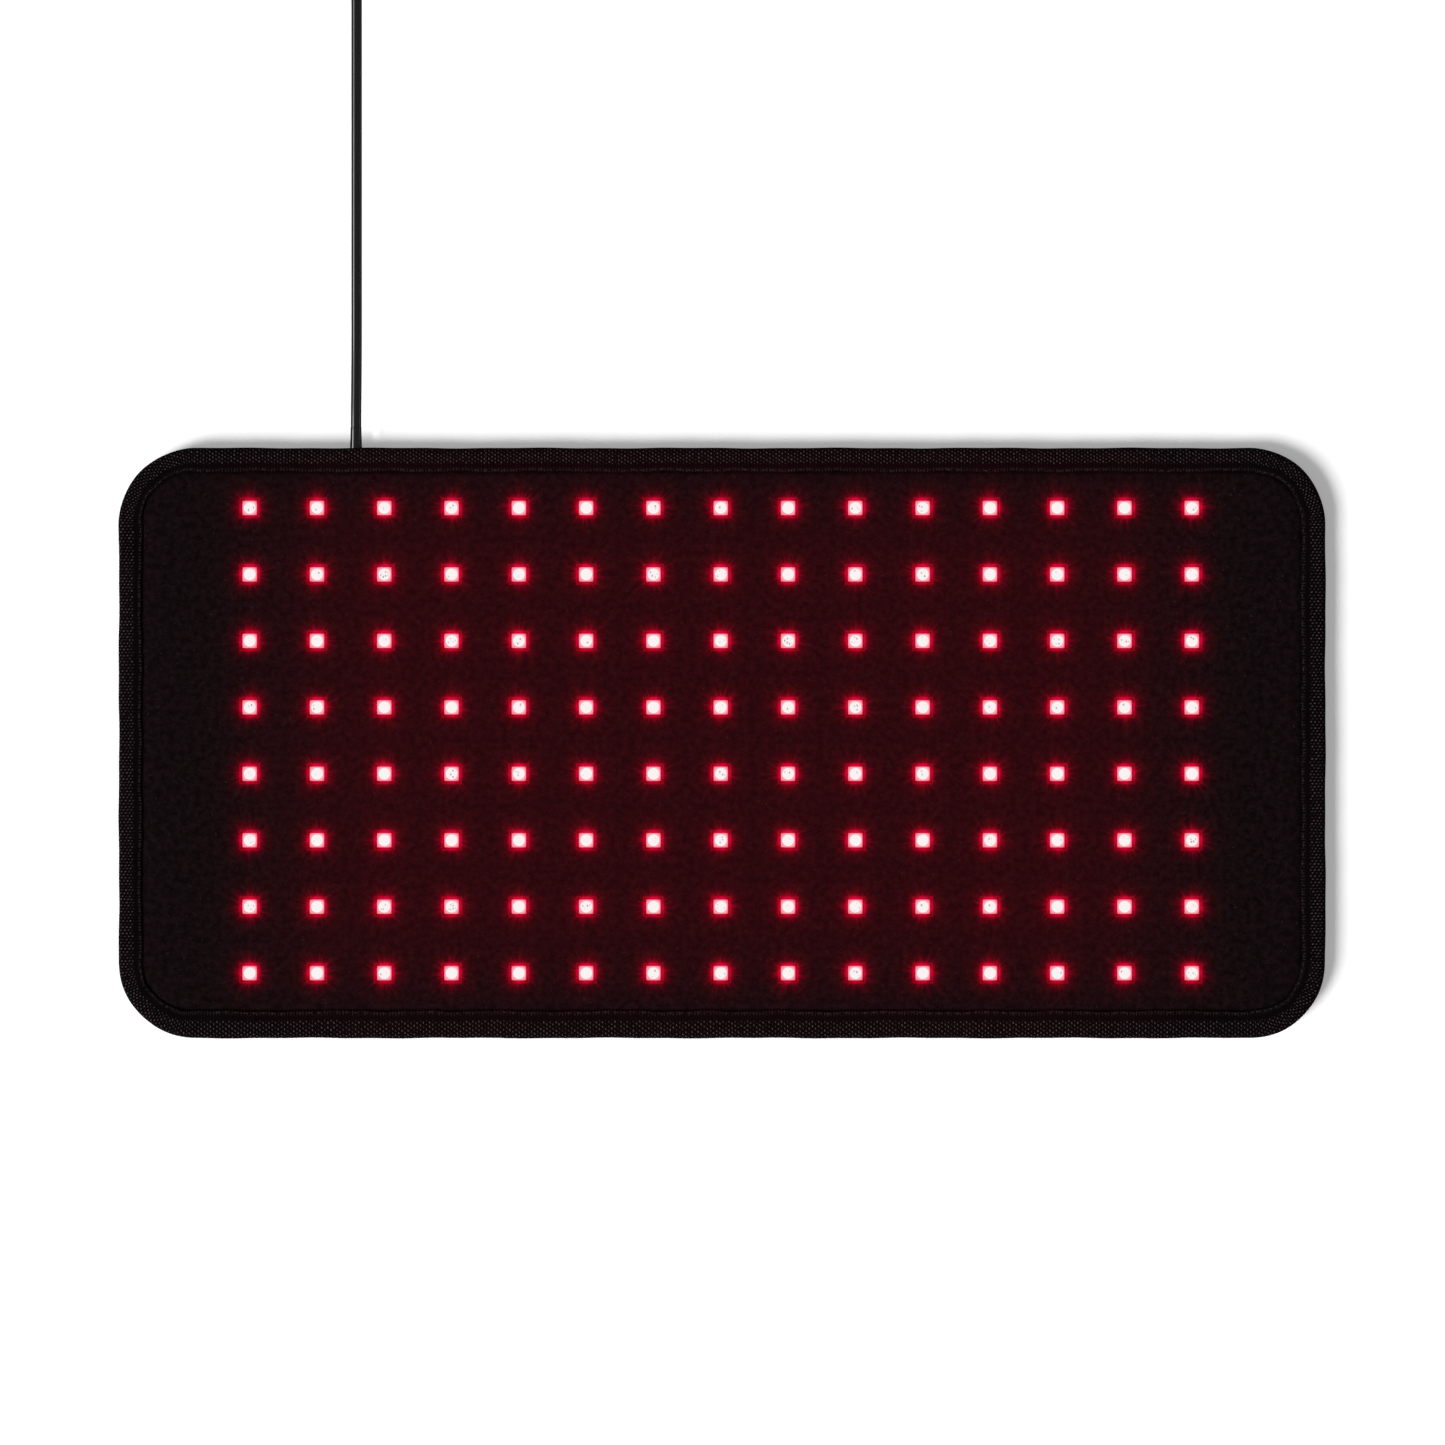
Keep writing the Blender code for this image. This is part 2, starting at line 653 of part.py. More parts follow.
def smooth_route(points, spacing):
    """Reads points at even steps from a smooth curve through the route's own points."""
    route = [Vector(point) for point in points]
    ends = [2 * route[0] - route[1]] + route + [2 * route[-1] - route[-2]]
    fine = []
    for a, b, c, d in zip(ends, ends[1:], ends[2:], ends[3:]):
        for i in range(ROUTE_STEPS):
            t = i / ROUTE_STEPS
            fine.append(0.5 * (2 * b + (c - a) * t + (2 * a - 5 * b + 4 * c - d) * t ** 2
                               + (3 * b - a - 3 * c + d) * t ** 3))
    fine.append(route[-1])
    lengths = [0.0]
    for a, b in zip(fine, fine[1:]):
        lengths.append(lengths[-1] + (b - a).length)
    count = max(2, round(lengths[-1] / spacing))
    result = []
    place = 0
    for i in range(count + 1):
        wanted = lengths[-1] * i / count
        while place < len(fine) - 2 and lengths[place + 1] < wanted:
            place += 1
        share = (wanted - lengths[place]) / (lengths[place + 1] - lengths[place])
        result.append(fine[place].lerp(fine[place + 1], share))
    return result


def cord_object(name, points, material, bevel_resolution):
    """A round cord along points, as a curve with filled ends."""
    curve = bpy.data.curves.new(name, "CURVE")
    curve.dimensions = "3D"
    curve.bevel_depth = LEAD_RADIUS
    curve.bevel_resolution = bevel_resolution
    curve.use_fill_caps = True
    spline = curve.splines.new("POLY")
    spline.points.add(len(points) - 1)
    for slot, point in zip(spline.points, points):
        slot.co = (*point, 1.0)
    cord = bpy.data.objects.new(name, curve)
    curve.materials.append(material)
    bpy.context.scene.collection.objects.link(cord)
    return cord


def coil_points():
    """The coil's centreline: in on the lower layer, up in the middle's half turn, out on the upper one.

    Angles run clockwise from the left of the coil, where the lead arrives heading +Y.
    """
    half = 0.5
    total = COIL_TURNS_IN + half + COIL_TURNS_OUT
    count = round(total * COIL_STEPS)
    points = []
    for i in range(count + 1):
        turn = i / COIL_STEPS
        climb = min(max((turn - COIL_TURNS_IN) / half, 0), 1)
        turned = turn - COIL_TURNS_IN
        if turned < half / 2:
            radius = COIL_INNER_RADIUS - turned * COIL_PITCH
        else:
            radius = COIL_INNER_RADIUS + (turned - half) * COIL_PITCH
        height = COIL_LOW_Z + (COIL_HIGH_Z - COIL_LOW_Z) * climb * climb * (3 - 2 * climb)
        angle = math.pi - turn * math.tau
        points.append(Vector((COIL_CENTRE_X + radius * math.cos(angle),
                              COIL_CENTRE_Y + radius * math.sin(angle), height)))
    first = points[0] - Vector((0, LEAD_DIAMETER, 0))
    last = points[-1] + Vector((LEAD_DIAMETER, 0, 0))
    return [first] + points + [last]


def least_self_gap(points):
    """Least gap between the tube and itself, measured on its points and the middles between them."""
    fine = []
    for a, b in zip(points, points[1:]):
        fine += [a, (a + b) / 2]
    skip = COIL_STEPS
    least = None
    for i, a in enumerate(fine):
        for b in fine[i + skip:]:
            distance = (a - b).length
            if least is None or distance < least:
                least = distance
    return least - LEAD_DIAMETER


def lead_route(coil_start):
    """The lead's own points, from the relief out over the surface to the coil."""
    return [
        (LEAD_X, HALF_WIDTH + RELIEF_OUTSIDE + FIT, LEAD_Z),
        (LEAD_X, 0.1200, 0.00345),
        (LEAD_X, 0.1310, 0.00255),
        (LEAD_X, 0.1450, FLOOR_Z),
        (LEAD_X, 0.1750, FLOOR_Z),
        (coil_start.x, 0.2100, FLOOR_Z),
        (coil_start.x, 0.2450, FLOOR_Z),
        (coil_start.x, 0.2740, 0.0021),
        (coil_start.x, 0.2900, 0.0027),
        (coil_start.x, 0.2980, COIL_LOW_Z),
        (coil_start.x, coil_start.y - FIT, coil_start.z),
    ]


def run_route(coil_end):
    """The stretch from the coil's upper layer down to the surface and up into the controller."""
    sleeve_end = CONTROLLER_X - CONTROLLER_LENGTH / 2 - SLEEVE_LENGTH - FIT
    return [
        (coil_end.x + FIT, coil_end.y, coil_end.z),
        (-0.0860, 0.3404, 0.0069),
        (-0.0740, 0.3389, 0.0046),
        (-0.0600, 0.3350, 0.0024),
        (-0.0460, 0.3285, FLOOR_Z),
        (-0.0320, 0.3215, 0.0022),
        (-0.0190, 0.3173, 0.0046),
        (-0.0110, 0.3160, 0.0062),
        (sleeve_end, CONTROLLER_Y, CONTROLLER_SPLIT),
    ]


def tail_route():
    """The short cord from the controller round to the supply plug."""
    sleeve_end = CONTROLLER_X + CONTROLLER_LENGTH / 2 + SLEEVE_LENGTH + FIT
    plug_end = PLUG_TIP_X + CONTACT_LENGTH + PLUG_NOSE_LENGTH + PLUG_BODY_LENGTH + PLUG_TAIL_LENGTH + FIT
    return [
        (sleeve_end, CONTROLLER_Y, CONTROLLER_SPLIT),
        (0.1220, 0.3160, 0.0061),
        (0.1320, 0.3158, 0.0040),
        (0.1440, 0.3152, 0.0022),
        (0.1580, 0.3145, FLOOR_Z),
        (0.1740, 0.3130, FLOOR_Z),
        (0.1880, 0.3075, FLOOR_Z),
        (0.1950, 0.2970, FLOOR_Z),
        (0.1930, 0.2850, FLOOR_Z),
        (0.1825, 0.2780, FLOOR_Z),
        (0.1680, 0.2765, FLOOR_Z),
        (0.1500, 0.2775, FLOOR_Z),
        (0.1370, 0.2779, 0.0026),
        (0.1270, 0.2780, 0.0046),
        (plug_end, PLUG_Y, PLUG_Z),
    ]


def build_cords(materials):
    """The lead, its coil, the run to the controller and the tail to the plug, meeting end to end."""
    spacing = ROUTE_SPACING_SHARE * LEAD_DIAMETER
    coil = coil_points()
    cord_object("cord_coil", coil, materials["lead"], COIL_BEVEL_STEPS)
    routes = {"cord_lead": lead_route(coil[0]), "cord_run": run_route(coil[-1]), "cord_tail": tail_route()}
    for name, route in routes.items():
        cord_object(name, smooth_route(route, spacing), materials["lead"], CORD_BEVEL_STEPS)
    print("least gap of the coil to itself, mm:", round(least_self_gap(coil) * 1000, 3))


def build_coil_tie(materials):
    """Band round all the turns at the coil's right side, lying on the surface below them."""
    half = TIE_WIDTH / 2
    clear = LEAD_RADIUS + FIT
    inner_radius = COIL_INNER_RADIUS - clear - FIT
    inner_low_x = COIL_CENTRE_X + math.sqrt(inner_radius ** 2 - half ** 2)
    inner_high_x = COIL_CENTRE_X + COIL_INNER_RADIUS + (COIL_TURNS_IN - 0.5) * COIL_PITCH + clear
    inner_high_z = COIL_HIGH_Z + clear
    centre_x = (inner_low_x + inner_high_x) / 2
    centre_z = (TIE_THICKNESS + inner_high_z) / 2
    half_x = (inner_high_x - inner_low_x) / 2
    half_z = (inner_high_z - TIE_THICKNESS) / 2
    inner = rounded_outline(half_x, half_z, TIE_CORNER - TIE_THICKNESS, TIE_CORNER_STEPS)
    outer = rounded_outline(half_x + TIE_THICKNESS, half_z + TIE_THICKNESS, TIE_CORNER, TIE_CORNER_STEPS)
    bm = bmesh.new()
    rings = []
    for y, outline in ((-half, outer), (-half, inner), (half, inner), (half, outer)):
        ring = [bm.verts.new((centre_x + u, COIL_CENTRE_Y + y, centre_z + v)) for u, v in outline]
        rings.append(ring)
    count = len(inner)
    for ring, following in zip(rings, rings[1:] + rings[:1]):
        for i in range(count):
            j = (i + 1) % count
            bm.faces.new((ring[i], ring[j], following[j], following[i]))
    add_object("coil_tie", finish_mesh("coil_tie", bm, SMOOTH_ANGLE), materials["tape"])


def controller_outline(inset):
    """Round-cornered outline of the controller, drawn in by an inset."""
    return rounded_outline(CONTROLLER_LENGTH / 2 - inset, CONTROLLER_WIDTH / 2 - inset,
                           CONTROLLER_CORNER - inset, CONTROLLER_CORNER_STEPS)


def rounded_edge(rounding, steps):
    """Pairs of (inset, drop) down a rounded edge, from the flat face to the side."""
    pairs = []
    for i in range(steps + 1):
        angle = i / steps * math.tau / 4
        pairs.append((rounding * (1 - math.sin(angle)), rounding * (1 - math.cos(angle))))
    return pairs


def screw_places():
    """Middles of the two screws, at opposite corners of the controller."""
    x = CONTROLLER_LENGTH / 2 - SCREW_END_MARGIN
    y = CONTROLLER_WIDTH / 2 - SCREW_SIDE_MARGIN
    return [(-x, y), (x, -y)]


def placed_cutter(name, bm, place):
    """A hidden cutting shape made about the origin and put at a place."""
    cutter = as_cutter(finish_mesh(name, bm), name)
    cutter.location = place
    return cutter


def relief_ways_bmesh():
    """Round ways of the two reliefs through both shells, on the split between them."""
    half_length = CONTROLLER_LENGTH / 2
    neck = SLEEVE_NECK_RADIUS + FIT
    bm = bmesh.new()
    for side in (-1, 1):
        span = sorted((side * (half_length - CONTROLLER_WALL - OVERRUN), side * (half_length + OVERRUN)))
        add_turned(bm, [(span[0], neck), (span[1], neck)], "X", (0, 0, CONTROLLER_SPLIT), SLEEVE_SIDES)
    return bm


def bottom_posts_bmesh():
    """Screw posts and the two ribs that carry the circuit board."""
    bm = bmesh.new()
    for x, y in screw_places():
        post = circle_outline(x, y, POST_RADIUS, SCREW_SIDES)
        stack_loops(bm, [at_height(post, CONTROLLER_WALL / 2), at_height(post, CONTROLLER_SPLIT)])
    for side in (-1, 1):
        middle = side * CIRCUIT_HALF_LENGTH * RIB_SHARE
        add_box(bm, (middle - RIB_WIDTH / 2, -CIRCUIT_HALF_WIDTH, CONTROLLER_WALL / 2),
                (middle + RIB_WIDTH / 2, CIRCUIT_HALF_WIDTH, CONTROLLER_SPLIT))
    return bm


def screw_holes_bmesh():
    """Stepped holes from below: a seat for each head and a clear way for each shank."""
    seat = SCREW_HEAD_HEIGHT + 2 * FIT
    bm = bmesh.new()
    for x, y in screw_places():
        head = circle_outline(x, y, SCREW_HEAD_RADIUS + FIT, SCREW_SIDES)
        shank = circle_outline(x, y, SCREW_RADIUS + FIT, SCREW_SIDES)
        stack_loops(bm, [at_height(head, -OVERRUN), at_height(head, seat), at_height(shank, seat),
                         at_height(shank, CONTROLLER_SPLIT + OVERRUN)])
    return bm


def build_bottom_shell(materials, centre, ways):
    """Bottom shell: a walled tray with a rounded lower edge, posts, ribs and a step for the lip."""
    split = CONTROLLER_SPLIT - FIT / 2
    step_inset = CONTROLLER_WALL - LIP_THICKNESS - FIT
    step_z = split - LIP_HEIGHT
    loops = []
    for inset, drop in rounded_edge(BOTTOM_ROUNDING, ROUNDING_STEPS // 2):
        loops.append(at_height(controller_outline(inset), drop))
    loops.append(at_height(controller_outline(0), split))
    loops.append(at_height(controller_outline(step_inset), split))
    loops.append(at_height(controller_outline(step_inset), step_z))
    loops.append(at_height(controller_outline(CONTROLLER_WALL), step_z))
    loops.append(at_height(controller_outline(CONTROLLER_WALL), CONTROLLER_WALL))
    bm = bmesh.new()
    stack_loops(bm, loops)
    mesh = finish_mesh("controller_bottom", bm, SMOOTH_ANGLE)
    bottom = add_object("controller_bottom", mesh, materials["plastic"], centre)
    combine(bottom, placed_cutter("bottom_posts", bottom_posts_bmesh(), centre), "UNION")
    combine(bottom, placed_cutter("screw_holes", screw_holes_bmesh(), centre), "DIFFERENCE")
    combine(bottom, ways, "DIFFERENCE")


def top_bosses_bmesh():
    """Bosses that hang from the ceiling for the screws."""
    bm = bmesh.new()
    for x, y in screw_places():
        boss = circle_outline(x, y, POST_RADIUS, SCREW_SIDES)
        stack_loops(bm, [at_height(boss, BOSS_BOTTOM), at_height(boss, CEILING + CONTROLLER_WALL / 2)])
    return bm


def top_openings_bmesh():
    """Openings of the two buttons and the light pipe, and the blind screw holes in the bosses."""
    bm = bmesh.new()
    for x, y in screw_places():
        hole = circle_outline(x, y, SCREW_RADIUS + FIT, SCREW_SIDES)
        stack_loops(bm, [at_height(hole, BOSS_BOTTOM - OVERRUN),
                         at_height(hole, BOSS_BOTTOM + SCREW_BITE + FIT)])
    power = circle_outline(POWER_X, 0, POWER_DIAMETER / 2 + FIT, BUTTON_SIDES)
    pipe = circle_outline(PIPE_X, 0, PIPE_DIAMETER / 2 + FIT, PIPE_SIDES)
    timer = [(TIMER_X + x, y) for x, y in timer_outline(-FIT)]
    for outline in (power, pipe, timer):
        stack_loops(bm, [at_height(outline, CEILING - FIT),
                         at_height(outline, CONTROLLER_HEIGHT + OVERRUN)])
    return bm


def build_top_shell(materials, centre, ways):
    """Top shell: a walled cover with a well rounded upper edge, bosses, openings and an inner lip."""
    split = CONTROLLER_SPLIT + FIT / 2
    lip_inset = CONTROLLER_WALL - LIP_THICKNESS
    lip_z = split - LIP_HEIGHT
    loops = [at_height(controller_outline(CONTROLLER_WALL), CEILING),
             at_height(controller_outline(CONTROLLER_WALL), lip_z),
             at_height(controller_outline(lip_inset), lip_z),
             at_height(controller_outline(lip_inset), split),
             at_height(controller_outline(0), split)]
    for inset, drop in reversed(rounded_edge(TOP_ROUNDING, ROUNDING_STEPS)):
        loops.append(at_height(controller_outline(inset), CONTROLLER_HEIGHT - drop))
    bm = bmesh.new()
    stack_loops(bm, loops)
    mesh = finish_mesh("controller_top", bm, SMOOTH_ANGLE)
    top = add_object("controller_top", mesh, materials["plastic"], centre)
    combine(top, placed_cutter("top_bosses", top_bosses_bmesh(), centre), "UNION")
    combine(top, placed_cutter("top_openings", top_openings_bmesh(), centre), "DIFFERENCE")
    combine(top, ways, "DIFFERENCE")


def power_outline(inset):
    """Round outline of the power button about its own middle, drawn in by an inset."""
    return circle_outline(0, 0, POWER_DIAMETER / 2 - inset, BUTTON_SIDES)


def timer_outline(inset):
    """Oval outline of the timer button about its own middle, drawn in by an inset."""
    return oval_outline(TIMER_LENGTH / 2 - inset, TIMER_WIDTH / 2 - inset, BUTTON_SIDES // 2 - 1)


def button_mesh(name, outline_at):
    """A button from its stem's foot up: stem, retaining flange, cap and crowned edge."""
    stem = circle_outline(0, 0, STEM_DIAMETER / 2, BUTTON_SIDES)
    flange_inset = -(BUTTON_FLANGE + FIT)
    cap_top = CONTROLLER_HEIGHT + BUTTON_PROUD
    bm = bmesh.new()
    stack_loops(bm, [
        at_height(stem, STEM_BOTTOM),
        at_height(stem, FLANGE_BOTTOM),
        at_height(outline_at(flange_inset), FLANGE_BOTTOM),
        at_height(outline_at(flange_inset), FLANGE_TOP),
        at_height(outline_at(0), FLANGE_TOP),
        at_height(outline_at(0), cap_top - BUTTON_CROWN),
        at_height(outline_at(BUTTON_CROWN), cap_top),
    ])
    return finish_mesh(name, bm, SMOOTH_ANGLE)


def build_buttons(materials, centre):
    """Power button, timer button and the light pipe, standing in their openings of the top shell."""
    add_object("power_button", button_mesh("power_button", power_outline), materials["button"],
               centre + Vector((POWER_X, 0, 0)))
    add_object("timer_button", button_mesh("timer_button", timer_outline), materials["button"],
               centre + Vector((TIMER_X, 0, 0)))
    bm = bmesh.new()
    add_turned(bm, [(FLANGE_BOTTOM, PIPE_FLANGE_DIAMETER / 2), (FLANGE_TOP, PIPE_FLANGE_DIAMETER / 2),
                    (FLANGE_TOP, PIPE_DIAMETER / 2), (CONTROLLER_HEIGHT, PIPE_DIAMETER / 2)],
               "Z", (0, 0, 0), PIPE_SIDES)
    add_object("light_pipe", finish_mesh("light_pipe", bm, SMOOTH_ANGLE), materials["clear"],
               centre + Vector((PIPE_X, 0, 0)))


def build_circuit(materials, centre):
    """Circuit board on the ribs, with a push switch under each button and the indicator under its pipe."""
    bm = bmesh.new()
    add_box(bm, (-CIRCUIT_HALF_LENGTH, -CIRCUIT_HALF_WIDTH, CIRCUIT_BOTTOM),
            (CIRCUIT_HALF_LENGTH, CIRCUIT_HALF_WIDTH, CIRCUIT_TOP))
    circuit = add_object("circuit_board", finish_mesh("circuit_board", bm), materials["circuit"], centre)
    half = SWITCH_SIDE / 2
    foot = CIRCUIT_TOP - SWITCH_FOOT
    bm = bmesh.new()
    for x in (POWER_X, TIMER_X):
        add_box(bm, (x - half, -half, foot), (x + half, half, CIRCUIT_TOP + SWITCH_HEIGHT))
    indicator = circle_outline(PIPE_X, 0, PIPE_DIAMETER / 2, PIPE_SIDES)
    stack_loops(bm, [at_height(indicator, foot), at_height(indicator, FLANGE_BOTTOM - FIT)])
    combine(circuit, placed_cutter("switch_bodies", bm, centre), "UNION")


def build_screws(materials, centre):
    """Two screws from below into the top shell's bosses, with crossed slots in their heads."""
    seat = SCREW_HEAD_HEIGHT + FIT
    tip_end = BOSS_BOTTOM + SCREW_BITE
    reach = SCREW_HEAD_RADIUS * SLOT_SHARE
    for number, (x, y) in enumerate(screw_places(), start=1):
        place = centre + Vector((x, y, 0))
        bm = bmesh.new()
        add_turned(bm, [(FIT, SCREW_HEAD_RADIUS), (seat, SCREW_HEAD_RADIUS), (seat, SCREW_RADIUS),
                        (tip_end - SCREW_TIP_DIAMETER, SCREW_RADIUS), (tip_end, SCREW_TIP_DIAMETER / 2)],
                   "Z", (0, 0, 0), SCREW_SIDES)
        mesh = finish_mesh("case_screw", bm, SMOOTH_ANGLE)
        screw = add_object(f"case_screw_{number}", mesh, materials["steel"], place)
        for along, across in ((reach, SLOT_WIDTH / 2), (SLOT_WIDTH / 2, reach)):
            bm = bmesh.new()
            add_box(bm, (-along, -across, -OVERRUN), (along, across, FIT + SLOT_DEPTH))
            combine(screw, placed_cutter("screw_slot", bm, place), "DIFFERENCE")


def sleeve_profile():
    """Profile of a controller relief from its inner flange out to its tip, with grooves round the taper."""
    flange_high = -CONTROLLER_WALL - FIT
    flange_low = flange_high - SLEEVE_FLANGE
    profile = [(flange_low, SLEEVE_FLANGE_RADIUS), (flange_high, SLEEVE_FLANGE_RADIUS),
               (flange_high, SLEEVE_NECK_RADIUS), (FIT, SLEEVE_NECK_RADIUS), (FIT, SLEEVE_ROOT_RADIUS)]
    step = SLEEVE_LENGTH / (SLEEVE_GROOVES + 1)
    for i in range(SLEEVE_GROOVES):
        middle = step * (i + 1)
        share = middle / SLEEVE_LENGTH
        radius = SLEEVE_ROOT_RADIUS + (SLEEVE_TIP_RADIUS - SLEEVE_ROOT_RADIUS) * share
        profile += [(middle - step / 4, radius), (middle, radius - SLEEVE_GROOVE_DEPTH),
                    (middle + step / 4, radius)]
    profile.append((SLEEVE_LENGTH, SLEEVE_TIP_RADIUS))
    return profile


def build_reliefs(materials, centre):
    """The two reliefs that the controller's shells hold by their flanges."""
    half_length = CONTROLLER_LENGTH / 2
    for name, side in (("inlet_relief", -1), ("outlet_relief", 1)):
        bm = bmesh.new()
        profile = [(side * (half_length + along), radius) for along, radius in sleeve_profile()]
        add_turned(bm, profile, "X", (0, 0, CONTROLLER_SPLIT), SLEEVE_SIDES)
        add_object(name, finish_mesh(name, bm, SMOOTH_ANGLE), materials["lead"], centre)


def build_plug(materials):
    """Supply plug that lies pointing to -X: overmould, contact sleeve and insulating core."""
    nose = PLUG_TIP_X + CONTACT_LENGTH
    shoulder = nose + PLUG_NOSE_LENGTH
    body_end = shoulder + PLUG_BODY_LENGTH
    tail_end = body_end + PLUG_TAIL_LENGTH
    body = PLUG_DIAMETER / 2
    seat_radius = CONTACT_DIAMETER / 2 + FIT
    profile = [(nose + CONTACT_SEAT + FIT, seat_radius), (nose, seat_radius),
               (nose, PLUG_NOSE_DIAMETER / 2), (shoulder, PLUG_NOSE_DIAMETER / 2), (shoulder, body)]
    step = PLUG_BODY_LENGTH / (PLUG_GRIPS + 2)
    for i in range(PLUG_GRIPS):
        middle = shoulder + step * (i + 1)
        profile += [(middle, body), (middle + step / 4, body - PLUG_GRIP_DEPTH), (middle + step / 2, body)]
    profile += [(body_end, body), (body_end + PLUG_NOSE_LENGTH, SLEEVE_ROOT_RADIUS),
                (tail_end, SLEEVE_TIP_RADIUS)]
    place = (0, PLUG_Y, PLUG_Z)
    bm = bmesh.new()
    add_turned(bm, profile, "X", place, PLUG_SIDES)
    add_object("plug_body", finish_mesh("plug_body", bm, SMOOTH_ANGLE), materials["lead"])

    outer = CONTACT_DIAMETER / 2
    inner = outer - CONTACT_WALL
    back = nose + CONTACT_SEAT
    floor = back - CONTACT_WALL
    bm = bmesh.new()
    add_turned(bm, [(back, outer), (PLUG_TIP_X, outer), (PLUG_TIP_X, inner), (floor, inner)],
               "X", place, PLUG_SIDES)
    add_object("plug_sleeve", finish_mesh("plug_sleeve", bm, SMOOTH_ANGLE), materials["nickel"])
    core = inner - FIT
    bore = CORE_BORE_DIAMETER / 2
    mouth = PLUG_TIP_X + CORE_RECESS
    bm = bmesh.new()
    add_turned(bm, [(floor - FIT, core), (mouth, core), (mouth, bore), (mouth + CORE_BORE_DEPTH, bore)],
               "X", place, PLUG_SIDES)
    add_object("plug_core", finish_mesh("plug_core", bm, SMOOTH_ANGLE), materials["plastic"])


def main():
    for old in list(bpy.data.objects):
        bpy.data.objects.remove(old)
    materials = {
        "front_fabric": colour_material("front_fabric", (0.020, 0.008, 0.010), 0.85),
        "loop_pile": colour_material("loop_pile", (0.012, 0.012, 0.013), 0.95),
        "foam": colour_material("foam", (0.05, 0.05, 0.05), 0.9),
        "tape": colour_material("tape", (0.010, 0.009, 0.009), 0.7),
        "led": colour_material("led", (0.90, 0.35, 0.35), 0.4),
        "lead": colour_material("lead", (0.012, 0.012, 0.012), 0.3),
        "plastic": colour_material("plastic", (0.03, 0.03, 0.03), 0.45),
        "button": colour_material("button", (0.10, 0.10, 0.10), 0.5),
        "clear": colour_material("clear", (0.70, 0.75, 0.75), 0.15),
        "circuit": colour_material("circuit", (0.03, 0.15, 0.06), 0.5),
        "steel": colour_material("steel", (0.55, 0.55, 0.55), 0.35, 1.0),
        "nickel": colour_material("nickel", (0.66, 0.62, 0.57), 0.2, 1.0),
    }
    build_pad(materials)
    build_strips(materials)
    build_lead_entry(materials)
    build_cords(materials)
    build_coil_tie(materials)
    centre = Vector((CONTROLLER_X, CONTROLLER_Y, 0))
    ways = placed_cutter("relief_ways", relief_ways_bmesh(), centre)
    build_bottom_shell(materials, centre, ways)
    build_top_shell(materials, centre, ways)
    build_buttons(materials, centre)
    build_circuit(materials, centre)
    build_screws(materials, centre)
    build_reliefs(materials, centre)
    build_plug(materials)


main()
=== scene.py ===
"""A red light therapy pad with its lead, controller and plug, modelled in detail over the CAD frame."""

import math

import bpy
import numpy as np
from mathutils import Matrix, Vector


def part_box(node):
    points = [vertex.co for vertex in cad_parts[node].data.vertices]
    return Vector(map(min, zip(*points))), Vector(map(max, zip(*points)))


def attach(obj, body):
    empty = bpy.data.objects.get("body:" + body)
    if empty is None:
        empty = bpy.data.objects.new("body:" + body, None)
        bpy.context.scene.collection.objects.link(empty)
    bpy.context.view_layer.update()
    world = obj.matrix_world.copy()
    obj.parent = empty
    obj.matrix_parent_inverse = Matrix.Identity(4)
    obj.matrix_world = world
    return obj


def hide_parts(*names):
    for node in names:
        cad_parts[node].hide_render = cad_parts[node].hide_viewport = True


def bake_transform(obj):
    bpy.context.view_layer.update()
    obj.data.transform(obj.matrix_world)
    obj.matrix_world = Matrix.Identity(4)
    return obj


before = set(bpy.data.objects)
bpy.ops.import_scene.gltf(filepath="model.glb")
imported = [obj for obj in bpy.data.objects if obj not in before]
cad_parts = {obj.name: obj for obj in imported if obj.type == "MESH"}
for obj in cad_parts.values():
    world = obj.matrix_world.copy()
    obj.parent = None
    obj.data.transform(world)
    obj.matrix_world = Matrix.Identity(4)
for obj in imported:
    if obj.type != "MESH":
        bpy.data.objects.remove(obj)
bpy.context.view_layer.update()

bl_info = {
    "name": "Red light therapy pad",
    "version": (1, 0, 0),
    "blender": (4, 5, 0),
    "location": "3D View > Sidebar > Pad",
    "description": "Builds a fabric pad of red LEDs with its lead, controller and plug",
    "category": "Add Mesh",
}

MM = 0.001

# Routes of the cords' free stretches, in metres
LEAD_POINTS = (
    (-0.1309, 0.1118, 0.00375), (-0.1309, 0.1200, 0.00345), (-0.1309, 0.1310, 0.00255),
    (-0.1309, 0.1450, 0.0019), (-0.1309, 0.1750, 0.0019), (-0.1309, 0.2100, 0.0019),
    (-0.1309, 0.2450, 0.0019), (-0.1309, 0.2740, 0.0021), (-0.1309, 0.2900, 0.0027),
    (-0.1309, 0.2980, 0.0029), (-0.1309, 0.3039, 0.0029),
)
RUN_POINTS = (
    (-0.0932, 0.3405, 0.0072), (-0.0860, 0.3404, 0.0069), (-0.0740, 0.3389, 0.0046),
    (-0.0600, 0.3350, 0.0024), (-0.0460, 0.3285, 0.0019), (-0.0320, 0.3215, 0.0022),
    (-0.0190, 0.3173, 0.0046), (-0.0110, 0.3160, 0.0062), (-0.0053, 0.3160, 0.0065),
)
TAIL_POINTS = (
    (0.1153, 0.3160, 0.0065), (0.1220, 0.3160, 0.0061), (0.1320, 0.3158, 0.0040),
    (0.1440, 0.3152, 0.0022), (0.1580, 0.3145, 0.0019), (0.1740, 0.3130, 0.0019),
    (0.1880, 0.3075, 0.0019), (0.1950, 0.2970, 0.0019), (0.1930, 0.2850, 0.0019),
    (0.1825, 0.2780, 0.0019), (0.1680, 0.2765, 0.0019), (0.1500, 0.2775, 0.0019),
    (0.1370, 0.2779, 0.0026), (0.1270, 0.2780, 0.0046), (0.1178, 0.2780, 0.0050),
)
ROUTE_STEPS = 8
COIL_STEPS = 36
COIL_TURNS_IN = 4.0
COIL_TURNS_OUT = 3.75

